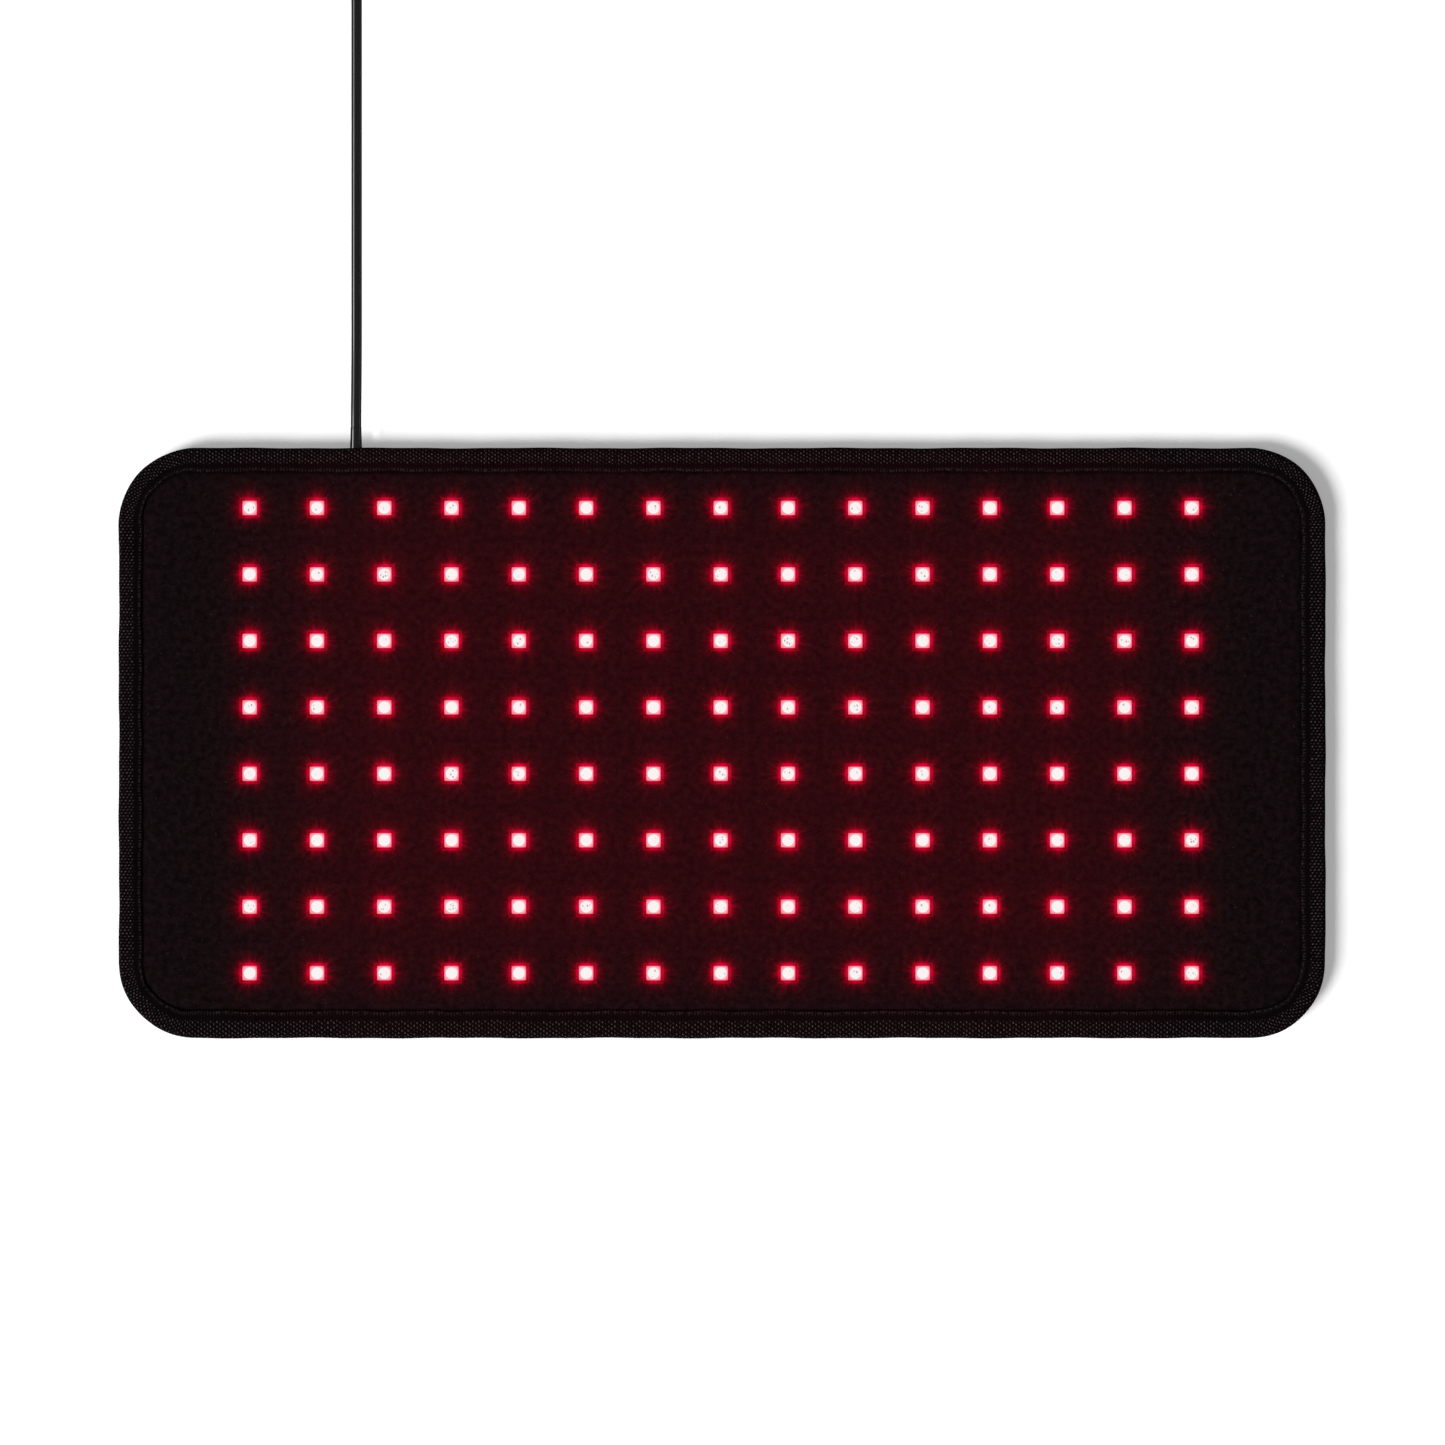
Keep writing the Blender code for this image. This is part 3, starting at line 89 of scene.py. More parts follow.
# The pad's panels, the LED columns after which the soft layers are cut, and the panels under each soft piece
PANELS = ("panel_1", "panel_2", "panel_3", "panel_4", "panel_5")
SPLIT_AFTER = (3, 6, 9)
SPAN_PANELS = ((1, 2), (3,), (4,), (5,))
COLUMNS_PER_PANEL = 3
LED_COLUMNS = 15
LED_ROWS = 8

# The cloth's grids: their spacings, the fine band along the pad's edges, and the lines round a window
COVER_SPACING = 2.2 * MM
FOAM_SPACING = 2.6 * MM
TAPE_SPACING = 1.0 * MM
EDGE_LINE = 1.1 * MM
EDGE_BAND = 12 * MM
WINDOW_LIPS = np.array([-1.3, -0.3, 0.0]) * MM

# A cover's rise from under the tape, its sags at a window as depth and reach, and its unevenness
COVER_RISE = (-0.6 * MM, 1.8 * MM)
WINDOW_SAGS = ((0.22 * MM, 0.32 * MM), (0.10 * MM, 2.2 * MM))
COVER_SLACK = 0.08 * MM
PILE_SLACK = 0.12 * MM

# The foam's gaps and rounded rim, half the gap between two boards' tabs, and what a bend leaves at a window
FOAM_GAP = 0.3 * MM
FOAM_ROUNDING = 0.5 * MM
FOAM_ROUNDING_REACH = 1.5 * MM
TAB_GAP = 0.15 * MM

# The tape: gathers at the corners, waves as size, count and shift, the stitches' groove, the lead's hole
TAPE_GATHER = 0.16 * MM
TAPE_WAVES = ((0.05 * MM, 84, 0.0), (0.04 * MM, 222, 2.0))
GROOVE_DEPTH = 0.14 * MM
GROOVE_WIDTH = 0.45 * MM
HOLE_SIDE = 2.4 * MM
HOLE_RISE = 2.2 * MM

# The lead's sleeve and the coil's band
WING_LENGTH = 3.0 * MM
WING_CHAMFER = 0.3 * MM
SLEEVE_OVERLAP = 0.9 * MM
SLEEVE_ROOT_WALL = 0.25 * MM
SLEEVE_TIP_WALL = 0.06 * MM
BAND_CORNER = 2.0 * MM
BAND_EDGE = 0.985

# Where the weave's bands fade in and out, as distances from the tape's fold. The weave's floats start from
# half, a painted shade over the tape's roll
WEAVE_START = (2.0 * MM, 3.8 * MM)
WEAVE_END = (8.2 * MM, 7.5 * MM)
SELVEDGE_START = (9.2 * MM, 9.8 * MM)
SELVEDGE_END = (11.4 * MM, 11.0 * MM)

# Where the red light fades in and out, as distances from an LED's middle and from the field's middle
RAYS_START = (3.3 * MM, 5.0 * MM)
HALO_EDGE = 3.75 * MM
HALO_CORE = 3.2 * MM
RIM_START = (3.1 * MM, 3.3 * MM)
RIM_END = (3.9 * MM, 3.4 * MM)
NEAR_END = (9.0 * MM, 4.0 * MM)
FIELD_END_X = (0.192, 0.115)
FIELD_END_Y = (0.112, 0.058)

# The lamps' directions, and the sky's bright panel in radians from straight up
KEY_DIRECTION = (8.2, 5.4, -7.6)
SIDE_DIRECTION = (6.5, 0.0, -3.0)
PANEL_START = (0.65, 1.05)
PANEL_END = (1.5, 1.1)

# The floor's brighter strip beside the lead: how squarely it is seen, and its fades from lead and pad edge
SEEN_FROM_ABOVE = (0.15, 0.06)
STRIP_ACROSS = ((-2.5 * MM, -1.5 * MM), (9.0 * MM, 6.0 * MM))
STRIP_ALONG = ((1.5 * MM, 9.0 * MM), (180 * MM, 160 * MM))


def tone(red, green, blue):
    """Return the scene's linear colour of a display colour given in steps of 0 to 255."""
    share = np.array([red, green, blue], float) / 255
    linear = np.where(share <= 0.04045, share / 12.92, ((share + 0.055) / 1.055) ** 2.4)
    return tuple(float(value) for value in linear)


def length_setting(title, text, value):
    """Return a length property in metres."""
    return bpy.props.FloatProperty(name=title, description=text, default=value, min=0.0,
                                   precision=5, unit="LENGTH")


def place_setting(title, text, value):
    """Return a property for a place along an axis, in metres."""
    return bpy.props.FloatProperty(name=title, description=text, default=value,
                                   precision=5, unit="LENGTH")


def colour_setting(title, text, value):
    """Return a colour property."""
    return bpy.props.FloatVectorProperty(name=title, description=text, default=value, size=3,
                                         min=0.0, max=1.0, subtype="COLOR")


def amount_setting(title, text, value):
    """Return a plain number property."""
    return bpy.props.FloatProperty(name=title, description=text, default=value, min=0.0)


def angle_setting(title, text, degrees):
    """Return an angle property, its default given in degrees."""
    return bpy.props.FloatProperty(name=title, description=text, default=math.radians(degrees), min=0.0,
                                   subtype="ANGLE")


class PadSizes(bpy.types.PropertyGroup):
    """Sizes of the pad's soft layers."""
    length: length_setting("Length", "Pad length along X", 0.430)
    width: length_setting("Width", "Pad width along Y", 0.210)
    corner: length_setting("Corner", "Radius of the pad's corners", 0.027)
    tape_top: length_setting("Tape top", "Shown width of the tape on the lead's edge", 0.0082)
    tape_bottom: length_setting("Tape bottom", "Shown width of the tape on the opposite edge", 0.0095)
    tape_left: length_setting("Tape left", "Shown width of the tape on the left edge", 0.0080)
    tape_right: length_setting("Tape right", "Shown width of the tape on the right edge", 0.0085)
    tape_thickness: length_setting("Tape thickness", "Thickness of the woven tape", 0.0006)
    tape_roll: length_setting("Tape roll", "Radius of the tape's turn round the pad's rim", 0.0017)
    tape_wobble: length_setting("Tape wobble", "How far the tape's inner edge strays", 0.00034)
    tape_bulge: length_setting("Tape bulge", "How far the tape stands out past the pad's edge", 0.00034)
    corner_pull: length_setting("Corner pull", "The tape's narrowing halfway round a corner", 0.0003)
    pad_top: length_setting("Pad top", "Height of the tape's upper face", 0.0076)
    front_top: length_setting("Front top", "Height of the front cover's face", 0.0073)
    front_bottom: length_setting("Front bottom", "Height of the front cover's underside", 0.0057)
    rim_top: length_setting("Rim top", "Height of the front cover under the tape", 0.0067)
    back_top: length_setting("Back top", "Height of the back cover's inner face", 0.0018)
    rim_bottom: length_setting("Rim bottom", "Height of the back cover over the tape", 0.0009)
    cover_inset: length_setting("Cover inset", "Distance from the pad's edge to the covers", 0.0009)
    foam_inset: length_setting("Foam inset", "Distance from the pad's edge to the foam", 0.0030)
    stitch_length: length_setting("Stitch length", "Length of one stitch", 0.0022)
    stitch_pitch: length_setting("Stitch pitch", "Distance from stitch to stitch", 0.0033)
    stitch_inset: length_setting("Stitch inset", "Distance from the tape's edge to the stitches", 0.0006)
    stitch_width: length_setting("Stitch width", "Width of the thread", 0.00042)


class LedSizes(bpy.types.PropertyGroup):
    """Sizes of the LED packages, their boards and their windows."""
    column_pitch: length_setting("Column pitch", "Distance from LED column to LED column", 0.0240)
    row_pitch: length_setting("Row pitch", "Distance from LED row to LED row", 0.0237)
    shift_x: place_setting("Shift X", "Place of the middle column", -0.0005)
    shift_y: place_setting("Shift Y", "Place of the middle between the rows", 0.0009)
    side: length_setting("Side", "Side of the square LED body", 0.0050)
    clearance: length_setting("Clearance", "Gap between an LED body and its window", 0.0007)
    cup: length_setting("Cup", "Radius of the round cup in the LED body", 0.0022)
    board_bottom: length_setting("Board bottom", "Height of the boards' underside", 0.0048)
    board_top: length_setting("Board top", "Height of the boards' upper face", 0.0054)
    led_top: length_setting("LED top", "Height of the LED bodies' upper face", 0.0070)
    strip_width: length_setting("Strip width", "Width of a column's board", 0.0100)
    strip_end: length_setting("Strip end", "Board length past the last LED", 0.0045)
    tab_height: length_setting("Tab height", "Width of the tabs that join the boards", 0.0050)


class CordSizes(bpy.types.PropertyGroup):
    """Sizes of the cord and its coil."""
    diameter: length_setting("Diameter", "Diameter of the cord", 0.0038)
    coil_x: place_setting("Coil X", "Middle of the coil along X", -0.0973)
    coil_y: place_setting("Coil Y", "Middle of the coil along Y", 0.3080)
    coil_radius: length_setting("Coil radius", "Radius of the coil's innermost turn", 0.0164)
    coil_pitch: length_setting("Coil pitch", "Distance from turn to turn", 0.0043)
    coil_low: length_setting("Coil low", "Height of the lower layer's middle", 0.0029)
    coil_high: length_setting("Coil high", "Height of the upper layer's middle", 0.0072)
    tie_width: length_setting("Tie width", "Width of the band round the coil", 0.0080)
    tie_thickness: length_setting("Tie thickness", "Thickness of the band round the coil", 0.0007)


class Colours(bpy.types.PropertyGroup):
    """Colours of the finishes."""
    cover: colour_setting("Cover", "Knit of the front cover", tone(18, 10, 12))
    lit_cover: colour_setting("Lit cover", "Knit of the front cover in the LEDs' red light", tone(17, 4, 15))
    tape: colour_setting("Tape", "Woven binding tape", tone(10, 5, 7))
    # The yarn colour is a painted highlight on the tape's raised floats and marks.
    yarn: colour_setting("Yarn", "Raised yarn of the tape", tone(82, 72, 75))
    thread: colour_setting("Thread", "Thread of the stitches", tone(47, 32, 36))
    pile: colour_setting("Pile", "Loops of the back cover", tone(30, 29, 31))
    foam: colour_setting("Foam", "Foam core", tone(58, 58, 60))
    board: colour_setting("Board", "Solder mask of the LED boards", tone(206, 204, 198))
    package: colour_setting("Package", "Moulded LED body", tone(108, 96, 95))
    lit_body: colour_setting("Lit body", "Light that comes through the LED bodies", (0.86, 0.25, 0.33))
    lit_rim: colour_setting("Lit rim", "Light that comes through the LED bodies' corners", (0.80, 0.05, 0.11))
    lens: colour_setting("Lens", "Light of the LED lenses", (0.84, 0.78, 0.77))
    bond: colour_setting("Bond", "Dark spots in the LED lenses", (0.44, 0.36, 0.36))
    sheath: colour_setting("Sheath", "Sheath of the cord", tone(8, 7, 8))
    relief: colour_setting("Relief", "Vinyl of the sleeves and the plug", tone(15, 14, 15))
    case: colour_setting("Case", "Moulded controller case", tone(27, 27, 29))
    button: colour_setting("Button", "Rubber of the buttons", tone(120, 122, 126))
    metal: colour_setting("Metal", "Nickel of the contacts", tone(196, 194, 188))
    steel: colour_setting("Steel", "Screws", tone(150, 150, 152))
    floor: colour_setting("Floor", "Floor under the pad", (0.90, 0.90, 0.90))


class StageSettings(bpy.types.PropertyGroup):
    """The camera, the lamps and the floor."""
    span: length_setting("Span", "Width of the picture at the pad's face", 0.5151)
    height: length_setting("Height", "Camera height over the pad's face", 1.2)
    camera_x: place_setting("Camera X", "Place of the camera along X", 0.00012)
    camera_y: place_setting("Camera Y", "Place of the camera along Y", 0.00733)
    sensor: amount_setting("Sensor", "Sensor width in millimetres", 36.0)
    sky: amount_setting("Sky", "Light of the sky on the object", 0.15)
    gloss: amount_setting("Gloss", "Light of the sky in reflections, away from its bright panel", 0.05)
    key: amount_setting("Key", "Strength of the lamp that casts the shadow", 4.0)
    key_size: angle_setting("Key size", "Angle that this lamp fills", 26.0)
    side: amount_setting("Side", "Strength of the low lamp on the left", 0.16)
    side_size: angle_setting("Side size", "Angle that this lamp fills", 20.0)
    floor_lift: amount_setting("Floor lift", "Light of the floor for the camera alone", 0.27)
    lead_lift: amount_setting("Lead lift", "More light beside the lead, for a camera above it", 0.72)
    floor_side: length_setting("Floor side", "Side of the square floor", 12.0)


SETTINGS = {"pad_sizes": PadSizes, "led_sizes": LedSizes, "cord_sizes": CordSizes,
            "pad_colours": Colours, "pad_stage": StageSettings}


def column_x(column, leds):
    """Return where an LED column stands along X."""
    return leds.shift_x + (column - (LED_COLUMNS - 1) / 2) * leds.column_pitch


def row_y(row, leds):
    """Return where an LED row stands along Y, from the lead's edge down."""
    return leds.shift_y + ((LED_ROWS - 1) / 2 - row) * leds.row_pitch


def spans(pad, leds):
    """Return for each bend the range along X of the soft pieces that cross it."""
    cuts = [column_x(after + 0.5, leds) for after in SPLIT_AFTER]
    edges = [-pad.length / 2, *cuts, pad.length / 2]
    return list(zip(edges, edges[1:]))


def step(values, low, high):
    """Return 0 below low, 1 above high and a smooth rise between them."""
    share = np.clip((np.asarray(values, float) - low) / (high - low), 0, 1)
    return share * share * (3 - 2 * share)


def edge_distance(x, y, pad):
    """Return the distance inward from the pad's rounded outline, and the outward direction there."""
    over_x = np.abs(x) - (pad.length / 2 - pad.corner)
    over_y = np.abs(y) - (pad.width / 2 - pad.corner)
    past = np.hypot(np.maximum(over_x, 0), np.maximum(over_y, 0))
    distance = pad.corner - past - np.minimum(np.maximum(over_x, over_y), 0)
    scale = np.maximum(past, 1e-9)
    return distance, np.sign(x) * np.maximum(over_x, 0) / scale, np.sign(y) * np.maximum(over_y, 0) / scale


def tape_width(normal_x, normal_y, pad):
    """Return the tape's shown width where the outline faces that way.

    Each side has its own, mixed by the squares of the direction and pulled narrow halfway round a corner."""
    return (np.where(normal_y > 0, pad.tape_top, pad.tape_bottom) * normal_y ** 2
            + np.where(normal_x > 0, pad.tape_right, pad.tape_left) * normal_x ** 2
            - 4 * pad.corner_pull * (normal_x * normal_y) ** 2)


def ripple(places, count, pad, shift=0.0):
    """Return a sine along the outline that has this many waves all round, so that it closes on itself."""
    return np.sin(count * math.tau * places / outline_table(pad)[0][-1] + shift)


def tape_stray(places, pad):
    """Return how much wider the tape shows at each place: a slow uneven sine and a quicker small one."""
    slow = ripple(places, 37, pad, 1.2 * ripple(places, 12, pad))
    return pad.tape_wobble * (0.65 * slow + 0.35 * ripple(places, 101, pad, 0.8))


def outline_table(pad):
    """Return length, x, y and outward direction round the outline, from the top's middle by the left."""
    half_x, half_y, radius = pad.length / 2, pad.width / 2, pad.corner
    turn = np.linspace(0, math.pi / 2, 49)
    x, y, normal_x, normal_y = [np.zeros(1)], [np.array([half_y])], [np.zeros(1)], [np.ones(1)]
    for corner, (side_x, side_y) in enumerate(((-1, 1), (-1, -1), (1, -1), (1, 1))):
        angle = math.pi / 2 * (corner + 1) + turn
        x.append(side_x * (half_x - radius) + radius * np.cos(angle))
        y.append(side_y * (half_y - radius) + radius * np.sin(angle))
        normal_x.append(np.cos(angle))
        normal_y.append(np.sin(angle))
    x, y = np.concatenate(x + [np.zeros(1)]), np.concatenate(y + [np.array([half_y])])
    normal_x = np.concatenate(normal_x + [np.zeros(1)])
    normal_y = np.concatenate(normal_y + [np.ones(1)])
    length = np.concatenate([[0.0], np.cumsum(np.hypot(np.diff(x), np.diff(y)))])
    return length, x, y, normal_x, normal_y


def outline_at(places, pad):
    """Return x, y and outward direction at lengths along the outline, which may run past its end."""
    length, *columns = outline_table(pad)
    return [np.interp(np.mod(places, length[-1]), length, column) for column in columns]


def bottom_place(x, pad):
    """Return the length along the outline of a point of its bottom edge."""
    straight_x = pad.length / 2 - pad.corner
    straight_y = pad.width / 2 - pad.corner
    return straight_x + math.pi * pad.corner + 2 * straight_y + (x + straight_x)


def tape_runs(pad, leds):
    """Return name, bend, start and end along the outline for each run of tape between the cuts."""
    around = outline_table(pad)[0][-1]
    cuts = [low for low, high in spans(pad, leds)][1:]
    return (
        ("left_end", 0, -cuts[0], bottom_place(cuts[0], pad)),
        ("bottom_left", 1, bottom_place(cuts[0], pad), bottom_place(cuts[1], pad)),
        ("bottom_right", 2, bottom_place(cuts[1], pad), bottom_place(cuts[2], pad)),
        ("right_end", 3, bottom_place(cuts[2], pad), around - cuts[2]),
        ("top_right", 2, around - cuts[2], around - cuts[1]),
        ("top_left", 1, around - cuts[1], around - cuts[0]),
    )


def smooth_route(points, steps):
    """Return points along the Catmull-Rom curve through the given points, with `steps` in each span."""
    given = np.asarray(points, float)
    padded = np.vstack([2 * given[0] - given[1], given, 2 * given[-1] - given[-2]])
    share = (np.arange(steps) / steps)[:, None]
    parts = []
    for before, start, end, after in zip(padded, padded[1:], padded[2:], padded[3:]):
        parts.append(0.5 * (2 * start + (end - before) * share
                            + (2 * before - 5 * start + 4 * end - after) * share ** 2
                            + (3 * start - before - 3 * end + after) * share ** 3))
    return np.vstack(parts + [given[-1:]])


def coil_points(cords):
    """Return the coil's line: a lower layer winds inward, climbs in half a turn, and winds outward again."""
    turns = COIL_TURNS_IN + 0.5 + COIL_TURNS_OUT
    turn = np.arange(int(turns * COIL_STEPS) + 1) / COIL_STEPS
    turned = turn - COIL_TURNS_IN
    radius = cords.coil_radius + np.where(turned < 0.25, -turned, turned - 0.5) * cords.coil_pitch
    height = cords.coil_low + (cords.coil_high - cords.coil_low) * step(turned, 0, 0.5)
    angle = math.pi - turn * math.tau
    return np.column_stack([cords.coil_x + radius * np.cos(angle),
                            cords.coil_y + radius * np.sin(angle), height])


def add_mesh(name, points, faces, uv=None, rest=False, sharp=40):
    """Add a mesh object: points (n, 3), faces as index lists, uv as (n, 2) places in metres."""
    mesh = bpy.data.meshes.new(name)
    mesh.from_pydata(np.asarray(points, float).tolist(), [], faces)
    mesh.validate()
    if uv is not None:
        corners = np.empty(len(mesh.loops), int)
        mesh.loops.foreach_get("vertex_index", corners)
        layer = mesh.uv_layers.new(name="run")
        layer.data.foreach_set("uv", np.asarray(uv, np.float32)[corners].ravel())
    if rest:
        place = mesh.attributes.new("rest_place", "FLOAT_VECTOR", "POINT")
        place.data.foreach_set("vector", np.asarray(points, np.float32).ravel())
    mesh.shade_smooth()
    mesh.set_sharp_from_angle(angle=math.radians(sharp))
    piece = bpy.data.objects.new(name, mesh)
    bpy.context.scene.collection.objects.link(piece)
    return piece


def sheet_parts(upper, lower, keep=None):
    """Return points, faces and used indices of a closed sheet between two grids of points.

    `keep` says which cells of the grid hold material, and every open edge gets a wall from grid to grid."""
    rows, columns = upper.shape[:2]
    keep = np.ones((rows - 1, columns - 1), bool) if keep is None else keep
    index = np.arange(rows * columns).reshape(rows, columns)
    a, b, c, d = index[:-1, :-1], index[1:, :-1], index[1:, 1:], index[:-1, 1:]
    top = np.stack([a, b, c, d], -1)[keep]
    under = rows * columns
    around = np.pad(keep, 1)
    neighbours = ((a, b, around[1:-1, :-2]), (b, c, around[2:, 1:-1]),
                  (c, d, around[1:-1, 2:]), (d, a, around[:-2, 1:-1]))
    walls = []
    for first, second, beyond in neighbours:
        start, end = first[keep & ~beyond], second[keep & ~beyond]
        walls.append(np.stack([end, start, start + under, end + under], -1))
    faces = np.concatenate([top, top[:, ::-1] + under, *walls])
    points = np.concatenate([upper.reshape(-1, 3), lower.reshape(-1, 3)])
    used, renumbered = np.unique(faces, return_inverse=True)
    return points[used], renumbered.reshape(faces.shape), used


def add_sheet(name, upper, lower, keep=None, uv=None, rest=True, sharp=40):
    """Add a closed sheet between two grids of points, with uv given on the grid."""
    points, faces, used = sheet_parts(upper, lower, keep)
    if uv is not None:
        uv = np.concatenate([uv.reshape(-1, 2)] * 2)[used]
    return add_mesh(name, points, faces.tolist(), uv, rest, sharp)


def ring_faces(rings, sides, bodies=1):
    """Return the faces of closed bodies, each a stack of rings of points with a face over both ends."""
    index = np.arange(bodies * rings * sides).reshape(bodies, rings, sides)
    following = np.roll(index, -1, axis=2)
    walls = np.stack([index[:, :-1], following[:, :-1], following[:, 1:], index[:, 1:]], -1)
    faces = walls.reshape(-1, 4).tolist()
    return faces + index[:, 0, ::-1].tolist() + index[:, -1].tolist()


def add_rings(name, rings, places=None, uv=None):
    """Add bodies made of rings (ring, side, 3), one copy at each place."""
    places = np.zeros((1, 3)) if places is None else np.asarray(places, float)
    points = rings[None] + places[:, None, None, :]
    faces = ring_faces(rings.shape[0], rings.shape[1], len(places))
    return add_mesh(name, points.reshape(-1, 3), faces, uv)


def stacked(flat, heights):
    """Return rings (ring, side, 3) from flat rings (ring, side, 2) and the height of each."""
    upright = np.repeat(heights[:, None], flat.shape[1], 1)
    return np.concatenate([flat, upright[..., None]], -1)


def curve_tube(name, points, diameter):
    """Add a round cord: an open spline through the points with half the diameter as its bevel depth."""
    data = bpy.data.curves.new(name, "CURVE")
    data.dimensions = "3D"
    data.bevel_depth = diameter / 2
    data.bevel_resolution = 6
    data.use_fill_caps = True
    spline = data.splines.new("POLY")
    spline.points.add(len(points) - 1)
    flat = np.column_stack([points, np.ones(len(points))]).astype(np.float32)
    spline.points.foreach_set("co", flat.ravel())
    spline.use_smooth = True
    tube = bpy.data.objects.new(name, data)
    bpy.context.scene.collection.objects.link(tube)
    return tube


class Wires:
    """Adds nodes to a shader tree and wires them."""

    def __init__(self, tree):
        self.tree = tree

    def feed(self, socket, value):
        if isinstance(value, bpy.types.NodeSocket):
            self.tree.links.new(value, socket)
        else:
            socket.default_value = value

    def node(self, kind, sockets=None, **settings):
        made = self.tree.nodes.new("ShaderNode" + kind)
        for name, value in settings.items():
            setattr(made, name, value)
        for name, value in (sockets or {}).items():
            self.feed(made.inputs[name], value)
        return made

    def calc(self, operation, *values):
        made = self.node("Math", operation=operation)
        for socket, value in zip(made.inputs, values):
            self.feed(socket, value)
        return made.outputs[0]

    def total(self, *values):
        result = values[0]
        for value in values[1:]:
            result = self.calc("ADD", result, value)
        return result

    def times(self, *values):
        result = values[0]
        for value in values[1:]:
            result = self.calc("MULTIPLY", result, value)
        return result

    def ramp(self, value, low, high, to_low=0.0, to_high=1.0):
        sockets = {"Value": value, "From Min": low, "From Max": high, "To Min": to_low, "To Max": to_high}
        return self.node("MapRange", sockets, interpolation_type="SMOOTHSTEP").outputs[0]

    def axes(self, vector):
        return self.node("SeparateXYZ", {"Vector": vector}).outputs

    def vector(self, x, y, z=0.0):
        return self.node("CombineXYZ", {"X": x, "Y": y, "Z": z}).outputs[0]

    def noise(self, vector, scale, detail=2.0, roughness=0.5):
        sockets = {"Vector": vector, "Scale": scale, "Detail": detail, "Roughness": roughness}
        return self.node("TexNoise", sockets).outputs["Fac"]

    def blend(self, share, first, second):
        made = self.node("Mix", data_type="RGBA")
        for index, value in ((0, share), (6, first), (7, second)):
            self.feed(made.inputs[index], value)
        return made.outputs[2]

    def shade(self, share, colour, dark, light):
        """Return the colour, scaled from dark to light as the share goes from 0 to 1."""
        return self.blend(share, colour4(colour, dark), colour4(colour, light))

    def scaled(self, colour, amount):
        return self.node("VectorMath", {0: colour, "Scale": amount}, operation="SCALE").outputs[0]

    def place(self, kind):
        """Return places on the piece: "object", "rest" for blended cloth, or "run" along a tape."""
        if kind == "rest":
            return self.node("Attribute", attribute_name="rest_place").outputs["Vector"]
        if kind == "run":
            return self.node("UVMap", uv_map="run").outputs["UV"]
        return self.node("TexCoord").outputs["Object"]

    def use(self, group, sockets):
        made = self.tree.nodes.new("ShaderNodeGroup")
        made.node_tree = group
        for name, value in sockets.items():
            self.feed(made.inputs[name], value)
        return made.outputs

    def bump(self, height, depth, strength=1.0):
        return self.node("Bump", {"Height": height, "Distance": depth, "Strength": strength}).outputs[0]


def group(name, inputs, outputs):
    """Return a new node group's tree, its wires, its input sockets and its output sockets."""
    tree = bpy.data.node_groups.new(name, "ShaderNodeTree")
    for title, kind, value in inputs:
        socket = tree.interface.new_socket(title, in_out="INPUT", socket_type="NodeSocket" + kind)
        if value is not None:
            socket.default_value = value
    for title, kind in outputs:
        tree.interface.new_socket(title, in_out="OUTPUT", socket_type="NodeSocket" + kind)
    wires = Wires(tree)
    return tree, wires, tree.nodes.new("NodeGroupInput").outputs, tree.nodes.new("NodeGroupOutput").inputs


def grain_group():
    """Fine moulded or sheathed grain: two sizes of noise, as a height and as a variation about 0."""
    tree, wires, given, result = group(
        "Fine grain", [("Place", "Vector", None), ("Scale", "Float", 2500.0)],
        [("Height", "Float"), ("Variation", "Float")])
    fine = wires.noise(given["Place"], given["Scale"], 3.0, 0.6)
    broad = wires.noise(given["Place"], wires.times(given["Scale"], 0.06), 2.0, 0.5)
    wires.feed(result["Height"], wires.total(wires.times(fine, 0.7), wires.times(broad, 0.3)))
    wires.feed(result["Variation"], wires.calc("SUBTRACT", broad, 0.5))
    return tree


def knit_group():
    """Fine knit: rows of small loops, whose sides lean left and right in turn."""
    tree, wires, given, result = group(
        "Knit", [("Place", "Vector", None), ("Wale", "Float", 0.00052), ("Course", "Float", 0.00042)],
        [("Height", "Float"), ("Lint", "Float"), ("Mottle", "Float")])
    x, y = wires.axes(given["Place"])[:2]
    course = wires.calc("SINE", wires.times(wires.calc("DIVIDE", y, given["Course"]), math.tau))
    wale = wires.total(wires.times(wires.calc("DIVIDE", x, given["Wale"]), math.tau),
                       wires.times(course, 0.9))
    loops = wires.total(wires.times(wires.calc("SINE", wale), 0.35), wires.times(course, 0.15), 0.5)
    fuzz = wires.noise(given["Place"], 2600.0, 3.0, 0.7)
    wires.feed(result["Height"], wires.total(wires.times(loops, 0.6), wires.times(fuzz, 0.4)))
    flecks = wires.noise(given["Place"], 900.0, 1.0, 0.5)
    wires.feed(result["Lint"], wires.ramp(flecks, 0.70, 0.78))
    patches = wires.times(wires.noise(given["Place"], 420.0, 2.0, 0.6), 0.5)
    wires.feed(result["Mottle"], wires.ramp(wires.total(patches, wires.times(fuzz, 0.5)), 0.36, 0.64))
    return tree


